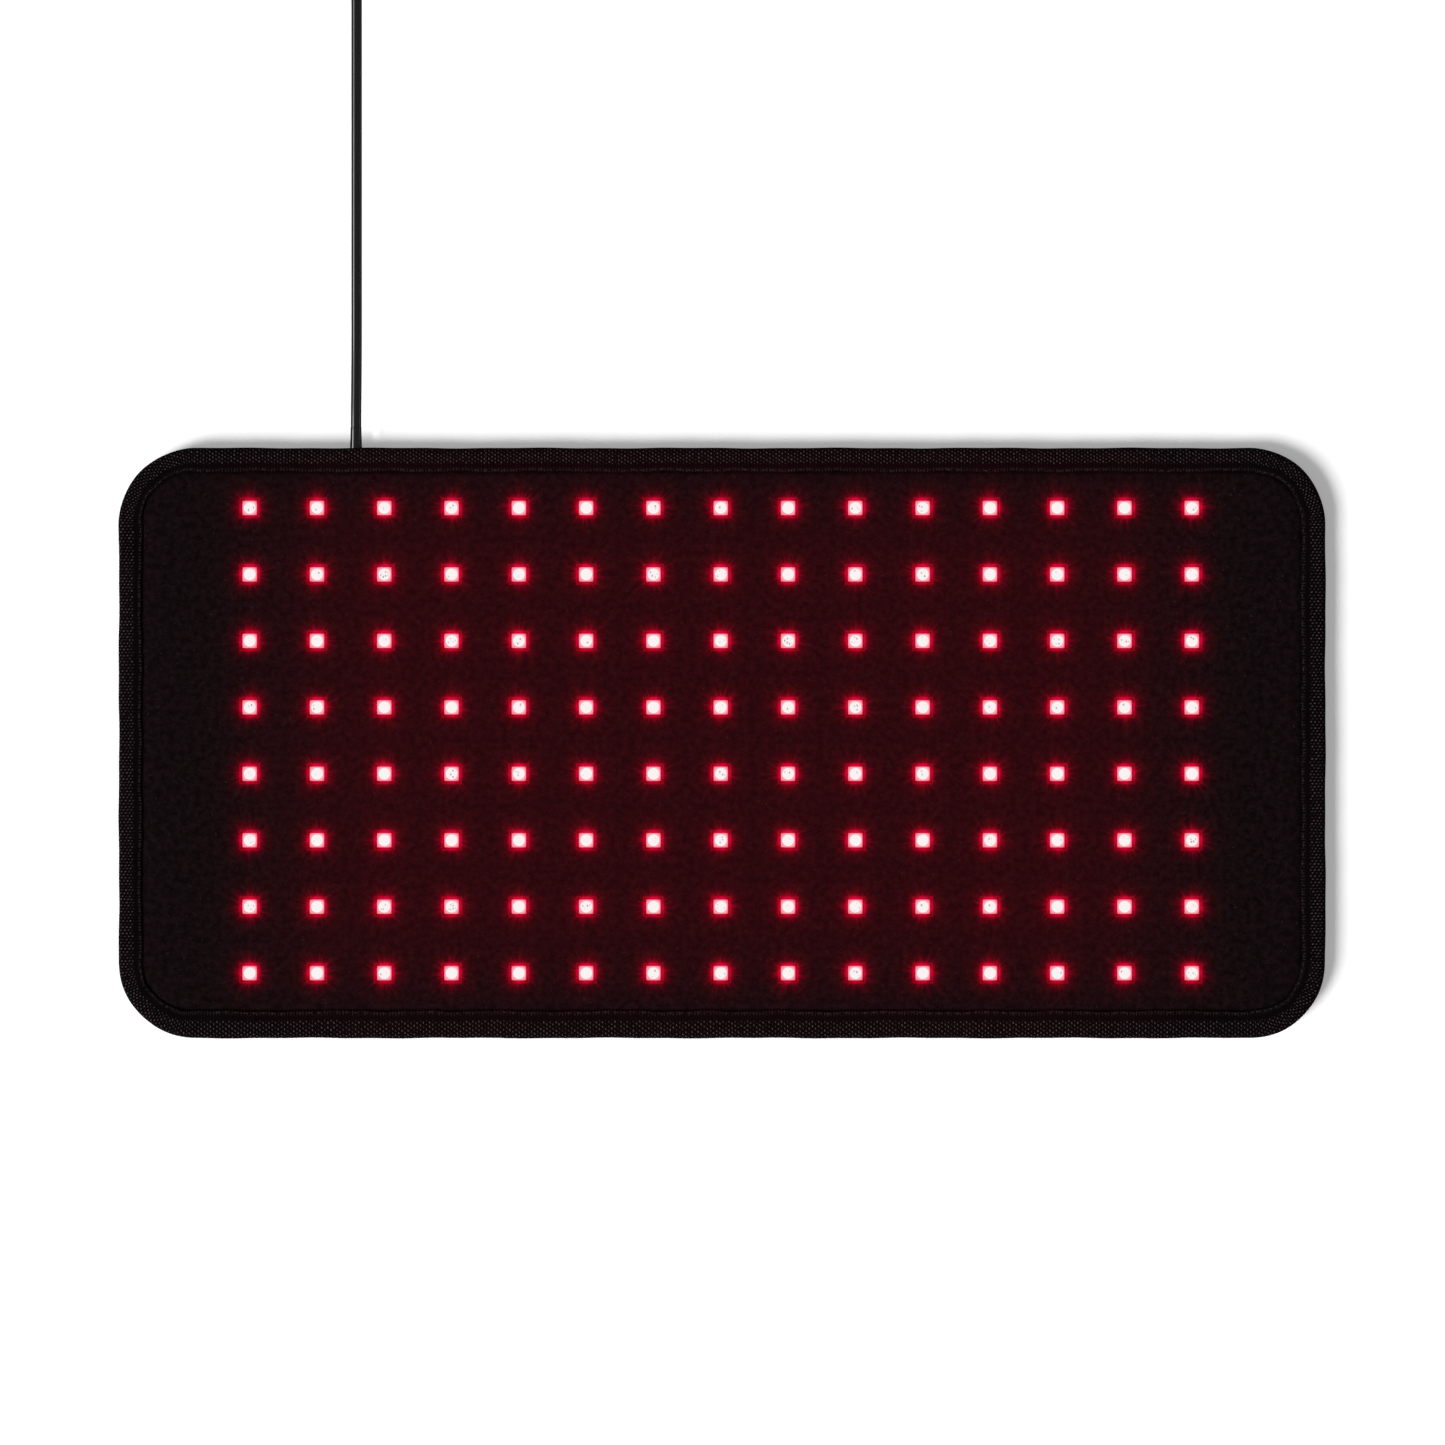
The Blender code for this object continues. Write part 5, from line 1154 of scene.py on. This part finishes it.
class PAD_OT_cords(bpy.types.Operator):
    """Add the supply cord with its coil, the plug's cord and the band round the coil"""
    bl_idname = "pad.cords"
    bl_label = "Cords"

    def execute(self, context):
        cords = context.scene.cord_sizes
        route = np.vstack([smooth_route(LEAD_POINTS, ROUTE_STEPS), coil_points(cords),
                           smooth_route(RUN_POINTS, ROUTE_STEPS)])
        supply = dress(curve_tube("supply_cord", route, cords.diameter), "lead_sheath")
        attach(supply, "panel_1")
        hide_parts("cord_lead", "cord_coil", "cord_run")
        self.add_sleeve(cords)
        band = self.add_band(cords)
        tail = smooth_route(TAIL_POINTS, ROUTE_STEPS)
        plug_cord = dress(curve_tube("plug_cord", tail, cords.diameter), "lead_sheath")
        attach(plug_cord, "panel_1")
        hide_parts("cord_tail")
        return {"FINISHED"}

    def add_sleeve(self, cords):
        """The lead's sleeve: rings from a flat wing inside the pad to a taper over the cord's start."""
        low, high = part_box("lead_relief")
        middle_x, middle_z = (low[0] + high[0]) / 2, (low[2] + high[2]) / 2
        start, end = low[1], LEAD_POINTS[0][1] + SLEEVE_OVERLAP
        half = cords.diameter / 2
        root, tip = half + SLEEVE_ROOT_WALL, half + SLEEVE_TIP_WALL
        share = np.linspace(0, 1, 12)
        taper_y = start + WING_LENGTH + (end - start - WING_LENGTH) * share
        taper = tip + (root - tip) * (1 - step(share, 0.45, 1.0))
        wing_y = start + np.array([0.0, WING_CHAMFER, WING_LENGTH - WING_CHAMFER, WING_LENGTH])
        chamfer = np.array([WING_CHAMFER, 0.0, 0.0, WING_CHAMFER])
        lip = np.array([tip - 0.02 * MM, half - 0.08 * MM])
        along = np.concatenate([wing_y, taper_y, end + np.array([0.15, 0.2]) * MM])
        reach_x = np.concatenate([(high[0] - low[0]) / 2 - chamfer, taper, lip])
        reach_z = np.concatenate([(high[2] - low[2]) / 2 - chamfer, taper, lip])
        is_wing = np.arange(len(along)) < len(wing_y)
        turn = np.linspace(0, math.tau, 24, endpoint=False)
        flat = round_to_square(np.ones(len(along)), np.where(is_wing, 1.0, 0.0), turn)
        height = np.where(is_wing, middle_z, LEAD_POINTS[0][2])
        rings = np.stack([middle_x - flat[..., 0] * reach_x[:, None], np.repeat(along[:, None], len(turn), 1),
                          height[:, None] + flat[..., 1] * reach_z[:, None]], -1)
        sleeve = dress(add_rings("lead_sleeve", rings), "lead_sheath")
        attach(sleeve, "panel_1")
        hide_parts("lead_relief")

    def add_band(self, cords):
        """The band is a rounded rectangle's outline round all the turns, carried over the band's width."""
        low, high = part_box("coil_tie")
        middle_x, middle_z = (low[0] + high[0]) / 2, (low[2] + high[2]) / 2
        half_x, half_z = (high[0] - low[0]) / 2, (high[2] - low[2]) / 2
        turn = np.linspace(0, math.tau, 96, endpoint=False)
        cosine, sine = np.cos(turn), np.sin(turn)
        rings = []
        for depth in (0.0, cords.tie_thickness):
            radius = BAND_CORNER - depth
            rings.append(((half_x - depth - radius) * np.clip(6 * cosine, -1, 1) + radius * cosine,
                          (half_z - depth - radius) * np.clip(2 * sine, -1, 1) + radius * sine))
        outer, inner = np.array(rings)
        across = np.array([-1.0, -0.94, -0.5, 0.0, 0.5, 0.94, 1.0]) * cords.tie_width / 2
        loops = [(outer * BAND_EDGE, across[0]), *[(outer, value) for value in across[1:-1]],
                 (outer * BAND_EDGE, across[-1]), *[(inner, value) for value in across[[-1, 3, 0]]]]
        points = np.array([np.column_stack([middle_x + x, np.full(len(turn), cords.coil_y + y), middle_z + z])
                           for (x, z), y in loops])
        index = np.arange(len(loops) * len(turn)).reshape(len(loops), len(turn))
        after, beside = np.roll(index, -1, axis=0), np.roll(index, -1, axis=1)
        both = np.roll(after, -1, axis=1)
        faces = np.stack([index, beside, both, after], -1).reshape(-1, 4).tolist()
        band = dress(add_mesh("coil_band", points.reshape(-1, 3), faces), "tape", "case_plastic")
        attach(band, "panel_1")
        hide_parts("coil_tie")
        return band


class PAD_OT_front_cover(bpy.types.Operator):
    """Add the knit front cover with its square windows"""
    bl_idname = "pad.front_cover"
    bl_label = "Front cover"

    def execute(self, context):
        pad, leds = context.scene.pad_sizes, context.scene.led_sizes
        for bend, (low, high) in enumerate(spans(pad, leds)):
            x, y, past_tape = cover_grid(low, high, pad, leds)
            rise = step(past_tape, *COVER_RISE)
            depth = window_depth(x, y, leds)
            sag = sum(drop * (1 - step(depth, 0, reach)) for drop, reach in WINDOW_SAGS)
            top = pad.rim_top + (pad.front_top - pad.rim_top + COVER_SLACK * slack(x, y)) * rise - sag
            upper = np.stack([x, y, top], -1)
            lower = np.stack([x, y, np.full(x.shape, pad.front_bottom)], -1)
            keep, run = window_mask(x, y, leds), np.stack([past_tape, depth], -1)
            piece = dress(add_sheet(f"cover_front_{bend + 1}", upper, lower, keep, run), "front_fabric")
            lay_soft(piece, "front_cover", bend)
        return {"FINISHED"}


class PAD_OT_back_cover(bpy.types.Operator):
    """Add the loop-pile back cover"""
    bl_idname = "pad.back_cover"
    bl_label = "Back cover"

    def execute(self, context):
        pad, leds = context.scene.pad_sizes, context.scene.led_sizes
        for bend, (low, high) in enumerate(spans(pad, leds)):
            x, y, past_tape = cover_grid(low, high, pad, leds, windows=False)
            rise = step(past_tape, *COVER_RISE)
            bottom = pad.rim_bottom * (1 - rise) + PILE_SLACK * (1 + slack(y * 1.7, x * 1.3)) / 2 * rise
            upper = np.stack([x, y, np.full(x.shape, pad.back_top)], -1)
            lower = np.stack([x, y, bottom], -1)
            piece = dress(add_sheet(f"cover_back_{bend + 1}", upper, lower), "loop_pile")
            lay_soft(piece, "back_cover", bend)
        return {"FINISHED"}


class PAD_OT_foam(bpy.types.Operator):
    """Add the foam core with the recess for the boards"""
    bl_idname = "pad.foam"
    bl_label = "Foam core"

    def execute(self, context):
        pad, leds = context.scene.pad_sizes, context.scene.led_sizes
        seat = leds.board_bottom - FOAM_GAP
        side = leds.strip_width / 2 + FOAM_GAP
        low_x, high_x = column_x(0, leds) - side, column_x(LED_COLUMNS - 1, leds) + side
        low_y = row_y(LED_ROWS - 1, leds) - leds.strip_end - FOAM_GAP
        high_y = row_y(0, leds) + leds.strip_end + FOAM_GAP
        for bend, (low, high) in enumerate(spans(pad, leds)):
            x, y = layer_grid(low, high, pad.foam_inset, pad, leds, FOAM_SPACING, windows=False)
            in_recess = (x > low_x) & (x < high_x) & (y > low_y) & (y < high_y)
            top = np.where(in_recess, seat, leds.board_top)
            past_rim = step(edge_distance(x, y, pad)[0], pad.foam_inset, pad.foam_inset + FOAM_ROUNDING_REACH)
            rounding = FOAM_ROUNDING * (1 - past_rim)
            upper = np.stack([x, y, top - rounding], -1)
            lower = np.stack([x, y, np.full(x.shape, pad.back_top + FOAM_GAP) + rounding], -1)
            piece = dress(add_sheet(f"foam_{bend + 1}", upper, lower, sharp=50), "foam")
            lay_soft(piece, "foam_core", bend)
        return {"FINISHED"}


def tape_section(pad):
    """Return the tape's section from its lower to its upper inner edge.

    For each point: its inward distance on the folded part, its share of the flange, its height, its outward
    direction in the section, its length along the section and its half thickness."""
    half = pad.tape_thickness / 2
    roll = pad.tape_roll
    flange = np.array([0.0, 0.012, 0.04, 0.10, 0.16, 0.22, 0.30, 0.40, 0.52, 0.64, 0.76, 0.88])
    turn = np.linspace(0, math.pi / 2, 7)
    low_roll = np.column_stack([half + roll - roll * np.sin(turn), half + roll - roll * np.cos(turn)])
    high_roll = np.column_stack([low_roll[::-1, 0], pad.pad_top - low_roll[::-1, 1]])
    sides = np.linspace(low_roll[-1, 1], high_roll[0, 1], 6)[1:-1]
    count = len(flange)
    inward = np.concatenate([np.full(count, half + roll), low_roll[:, 0], np.full(len(sides), half),
                             high_roll[:, 0], np.full(count, half + roll)])
    share = np.concatenate([1 - flange, np.zeros(len(low_roll) * 2 + len(sides)), 1 - flange[::-1]])
    height = np.concatenate([np.full(count, half), low_roll[:, 1], sides, high_roll[:, 1],
                             np.full(count, pad.pad_top - half)])
    out = np.concatenate([np.zeros(count), -np.sin(turn), np.full(len(sides), -1.0),
                          -np.cos(turn), np.zeros(count)])
    up = np.concatenate([np.full(count, -1.0), -np.cos(turn), np.zeros(len(sides)),
                         np.sin(turn), np.ones(count)])
    thickness = np.full(len(inward), half)
    thickness[[0, -1]] = 0.3 * half
    thickness[[1, -2]] = 0.8 * half
    flat = pad.tape_top - half - roll
    along = np.hypot(np.diff(inward + share * flat), np.diff(height))
    return inward, share, height, out, up, np.concatenate([[0.0], np.cumsum(along)]), thickness


def tape_faces(places, profile, half, pad):
    """Return the tape's outer and inner face as grids of points, for places along the outline.

    The tape strays, bulges past the pad's edge, gathers at the corners and dips under the stitches."""
    inward, share, height, out, up = profile
    x, y, normal_x, normal_y = outline_at(places, pad)
    bulge = pad.tape_bulge * (1 + 0.3 * ripple(places, 23, pad) + 0.2 * ripple(places, 59, pad, 1.3))
    bent = 4 * (normal_x * normal_y) ** 2
    flat = (tape_width(normal_x, normal_y, pad) + tape_stray(places, pad)
            - pad.tape_thickness / 2 - pad.tape_roll)
    inset = inward[None, :] + share[None, :] * (flat + bulge)[:, None] - bulge[:, None]
    side = np.sign(height - pad.pad_top / 2)[None, :]
    gathers = (TAPE_GATHER * ripple(places, 398, pad, 1.6 * ripple(places, 137, pad)) * bent)[:, None]
    waves = sum(size * ripple(places, count, pad, shift)
                for size, count, shift in TAPE_WAVES)[:, None]
    from_edge = (1 - share)[None, :] * flat[:, None]
    groove = -GROOVE_DEPTH * np.exp(-((from_edge - pad.stitch_inset) / GROOVE_WIDTH) ** 2)
    swell = (share > 0)[None, :] * ((gathers + 0.6 * waves) * share[None, :] + groove)
    middle_z = np.maximum(height[None, :] + side * swell, half[None, :])
    base = np.stack([x[:, None] - normal_x[:, None] * inset, y[:, None] - normal_y[:, None] * inset,
                     middle_z], -1)
    outward = np.stack([-out[None, :] * normal_x[:, None], -out[None, :] * normal_y[:, None],
                        np.repeat(up[None, :], len(places), 0)], -1)
    offset = outward * half[None, :, None]
    return base + offset, base - offset


def around_lead(places, share, height, lead_place):
    """Return which cells of the tape's grid stay round the hole that the lead comes through."""
    near = np.abs((places[1:] + places[:-1]) / 2 - lead_place) < HOLE_SIDE
    level = np.abs((height[1:] + height[:-1]) / 2 - LEAD_POINTS[0][2]) < HOLE_RISE
    on_rim = (share[1:] == 0) & (share[:-1] == 0)
    return ~(near[:, None] & (level & on_rim)[None, :])


class PAD_OT_tape(bpy.types.Operator):
    """Add the folded twill tape round the pad's edge"""
    bl_idname = "pad.tape"
    bl_label = "Binding tape"

    def execute(self, context):
        pad, leds = context.scene.pad_sizes, context.scene.led_sizes
        *profile, across, half = tape_section(pad)
        lead_place = -LEAD_POINTS[0][0]
        for name, bend, start, end in tape_runs(pad, leds):
            marks, keep = [start, end], None
            has_lead = start < lead_place < end
            if has_lead:
                marks += [lead_place - HOLE_SIDE, lead_place + HOLE_SIDE]
            places = fine_lines(marks, TAPE_SPACING)
            if has_lead:
                keep = around_lead(places, *profile[1:3], lead_place)
            upper, lower = tape_faces(places, profile, half, pad)
            uv = np.stack(np.meshgrid(places, across, indexing="ij"), -1)
            piece = dress(add_sheet(f"tape_{name}", upper, lower, keep, uv), "tape")
            bend_piece(piece)
            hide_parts(*TAPE_NODES[name])
        return {"FINISHED"}


TAPE_NODES = {
    "left_end": ("binding_left", "binding_top_2", "binding_bottom_2"),
    "bottom_left": ("binding_bottom_3",), "bottom_right": ("binding_bottom_4",),
    "right_end": ("binding_right",), "top_right": ("binding_top_4",), "top_left": ("binding_top_3",),
}


class PAD_OT_stitches(bpy.types.Operator):
    """Add the stitches along the tape's inner edge, on both faces"""
    bl_idname = "pad.stitches"
    bl_label = "Stitches"

    def execute(self, context):
        pad, leds = context.scene.pad_sizes, context.scene.led_sizes
        around = outline_table(pad)[0][-1]
        count = round(around / pad.stitch_pitch)
        centres = (np.arange(count * 2) + 0.5) * around / count
        for name, bend, start, end in tape_runs(pad, leds):
            chosen = centres[(centres >= start) & (centres < end)]
            for face, sign in (("front", 1), ("back", -1)):
                points = self.stitch_points(chosen, sign, pad)
                faces = ring_faces(*points.shape[1:3], len(chosen))
                piece = dress(add_mesh(f"stitches_{face}_{name}", points.reshape(-1, 3), faces, rest=True),
                              "thread")
                bend_piece(piece)
        return {"FINISHED"}

    def stitch_points(self, centres, sign, pad):
        """Each stitch is a low arch along the tape: rings of a flattened circle that shrink at both ends."""
        share = np.array([-1.0, -0.93, -0.75, -0.4, 0.0, 0.4, 0.75, 0.93, 1.0])
        turn = np.linspace(0, math.tau, 8, endpoint=False)
        places = centres[:, None] + share[None, :] * pad.stitch_length / 2
        x, y, normal_x, normal_y = outline_at(places, pad)
        slant = 0.10 * MM * share[None, :] * np.sin(centres * 997)[:, None]
        inset = tape_width(normal_x, normal_y, pad) + tape_stray(places, pad) - pad.stitch_inset + slant
        size = pad.stitch_width / 2 * np.array([0.25, 0.62, 0.9, 1.0, 1.0, 1.0, 0.9, 0.62, 0.25])
        lift = np.array([-0.42, -0.26, -0.08, 0.02, 0.05, 0.02, -0.08, -0.26, -0.42]) * MM
        height = pad.pad_top - GROOVE_DEPTH + lift[None, :] + 0 * places
        side = size[None, :, None] * np.cos(turn)[None, None, :]
        rise = 0.8 * size[None, :, None] * np.sin(turn)[None, None, :]
        points = np.stack([(x - normal_x * inset)[..., None] + normal_x[..., None] * side,
                           (y - normal_y * inset)[..., None] + normal_y[..., None] * side,
                           height[..., None] + rise], -1)
        if sign < 0:
            points[..., 2] = pad.pad_top - points[..., 2]
            points = points[:, :, ::-1]
        return points


def round_to_square(radii, squareness, turn):
    """Return rings (ring, side, 2) of that half width, each from a circle (0) to a square (1) in outline."""
    cosine, sine = np.cos(turn)[None, :], np.sin(turn)[None, :]
    square = 1 / np.maximum(np.abs(cosine), np.abs(sine))
    reach = radii[:, None] * (1 + squareness[:, None] * (square - 1))
    return np.stack([reach * cosine, reach * sine], -1)


class PAD_OT_leds(bpy.types.Operator):
    """Add the boards, the LED bodies, their lenses and their terminals, one piece of each for every column"""
    bl_idname = "pad.leds"
    bl_label = "LEDs"

    def execute(self, context):
        leds = context.scene.led_sizes
        for column in range(LED_COLUMNS):
            body = PANELS[column // COLUMNS_PER_PANEL]
            label = f"{column + 1:02d}"
            x = column_x(column, leds)
            places = np.array([[x, row_y(row, leds), 0.0] for row in range(LED_ROWS)])
            board = dress(self.add_board(f"board_{label}", column, x, leds), "board")
            bodies = dress(self.add_bodies(f"led_bodies_{label}", places, leds), "led_package")
            lenses = dress(self.add_lenses(f"led_lenses_{label}", places, leds), "led_lens")
            terminals = dress(self.add_terminals(f"led_terminals_{label}", places, leds), "contact_metal",
                              "solder")
            for piece in (board, bodies, lenses, terminals):
                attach(piece, body)
            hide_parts(f"led_strip_{label}")
        return {"FINISHED"}

    def add_board(self, name, column, x, leds):
        """A strip with tabs towards its neighbours on the same panel, cut from a small grid."""
        half, reach = leds.strip_width / 2, leds.column_pitch / 2 - TAB_GAP
        top = row_y(0, leds) + leds.strip_end
        bottom = row_y(LED_ROWS - 1, leds) - leds.strip_end
        lines_x = np.array([-reach, -half, half, reach])
        lines_y = np.array([bottom, bottom + leds.tab_height, top - leds.tab_height, top])
        keep = np.array([[True, False, True], [True, True, True], [True, False, True]])
        if column == 0:
            keep[0] = False
        if column == LED_COLUMNS - 1:
            keep[2] = False
        grid_x, grid_y = np.meshgrid(x + lines_x, lines_y, indexing="ij")
        upper = np.stack([grid_x, grid_y, np.full(grid_x.shape, leds.board_top)], -1)
        lower = np.stack([grid_x, grid_y, np.full(grid_x.shape, leds.board_bottom)], -1)
        return add_sheet(name, upper, lower, keep, rest=False)

    def add_bodies(self, name, places, leds):
        """A square body with a round cup, as rings from the cup's floor over the rim down to the foot."""
        half, cup = leds.side / 2, leds.cup
        turn = np.linspace(0, math.tau, 24, endpoint=False)
        radii = np.array([cup * 0.80, cup * 0.97, cup, half - 0.12 * MM, half - 0.03 * MM,
                          half, half, half - 0.05 * MM])
        shape = np.array([0, 0, 0, 0.985, 0.985, 0.985, 1.0, 1.0])
        depth = np.array([0.40, 0.05, 0.0, 0.0, 0.03, 0.12, 0.80, 1.55]) * MM
        rings = stacked(round_to_square(radii, shape, turn), leds.led_top - depth)[::-1]
        across, below = np.hypot(rings[..., 0], rings[..., 1]), leds.led_top - rings[..., 2]
        uv = np.stack([across, below], -1).reshape(-1, 2)
        return add_rings(name, rings, places, np.tile(uv, (len(places), 1)))

    def add_lenses(self, name, places, leds):
        """Clear resin in the cup: a low dome with a flat underside."""
        turn = np.linspace(0, math.tau, 24, endpoint=False)
        radii = np.array([0.78, 0.95, 0.9, 0.7, 0.4, 0.08]) * leds.cup
        drop = np.array([0.36, 0.07, 0.035, 0.01, -0.01, -0.015]) * MM
        rings = stacked(round_to_square(radii, np.zeros(len(radii)), turn), leds.led_top - drop)
        return add_rings(name, rings, places)

    def add_terminals(self, name, places, leds):
        """Three solder joints on each side of every body: low wedges on the board."""
        turn = np.array([math.pi / 4, 3 * math.pi / 4, 5 * math.pi / 4, 7 * math.pi / 4])
        radii, lift = np.array([0.64, 0.60, 0.34]) * MM, np.array([0.0, 0.18, 0.42]) * MM
        rings = stacked(round_to_square(radii, np.zeros(len(radii)), turn), leds.board_top + lift)
        spots = np.array([[side * (leds.side / 2 + 0.08 * MM), along * 1.6 * MM, 0]
                          for side in (-1, 1) for along in (-1, 0, 1)])
        return add_rings(name, rings, (places[:, None] + spots[None]).reshape(-1, 3))


NODE_FINISHES = {
    "terminal_block": "case_plastic", "controller_bottom": "case_plastic",
    "controller_top": "case_plastic", "circuit_board": "circuit", "power_button": "button_rubber",
    "timer_button": "button_rubber", "light_pipe": "clear_plastic", "inlet_relief": "relief",
    "outlet_relief": "relief", "case_screw_1": "screw_steel", "case_screw_2": "screw_steel",
    "plug_body": "relief", "plug_sleeve": "contact_metal", "plug_core": "case_plastic",
}


class PAD_OT_controller(bpy.types.Operator):
    """Finish the controller, the reliefs and the plug, whose solids come from the frame"""
    bl_idname = "pad.controller"
    bl_label = "Controller and plug"

    def execute(self, context):
        for name, look in NODE_FINISHES.items():
            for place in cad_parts[name].material_slots:
                place.material = finish(look)
        return {"FINISHED"}


OPERATORS = (PAD_OT_stage, PAD_OT_cords, PAD_OT_foam, PAD_OT_front_cover, PAD_OT_back_cover,
             PAD_OT_tape, PAD_OT_stitches, PAD_OT_leds, PAD_OT_controller)


class PAD_PT_panel(bpy.types.Panel):
    """Lists the steps that build the pad, and its settings"""
    bl_idname = "PAD_PT_panel"
    bl_label = "Red light pad"
    bl_space_type = "VIEW_3D"
    bl_region_type = "UI"
    bl_category = "Pad"

    def draw(self, context):
        for operator in OPERATORS:
            self.layout.operator(operator.bl_idname)
        for name, kind in SETTINGS.items():
            box = self.layout.box()
            box.label(text=kind.__doc__)
            for setting in kind.__annotations__:
                box.prop(getattr(context.scene, name), setting)


CLASSES = (*SETTINGS.values(), *OPERATORS, PAD_PT_panel)


def register():
    """Register the classes and hang the settings on the scene."""
    for kind in CLASSES:
        bpy.utils.register_class(kind)
    for name, kind in SETTINGS.items():
        setattr(bpy.types.Scene, name, bpy.props.PointerProperty(type=kind))


def unregister():
    """Take the settings off the scene and unregister the classes."""
    for name in SETTINGS:
        delattr(bpy.types.Scene, name)
    for kind in reversed(CLASSES):
        bpy.utils.unregister_class(kind)


def main():
    """Register the classes and build everything in order."""
    register()
    for operator in OPERATORS:
        family, action = operator.bl_idname.split(".")
        getattr(getattr(bpy.ops, family), action)()


if __name__ == "__main__":
    main()
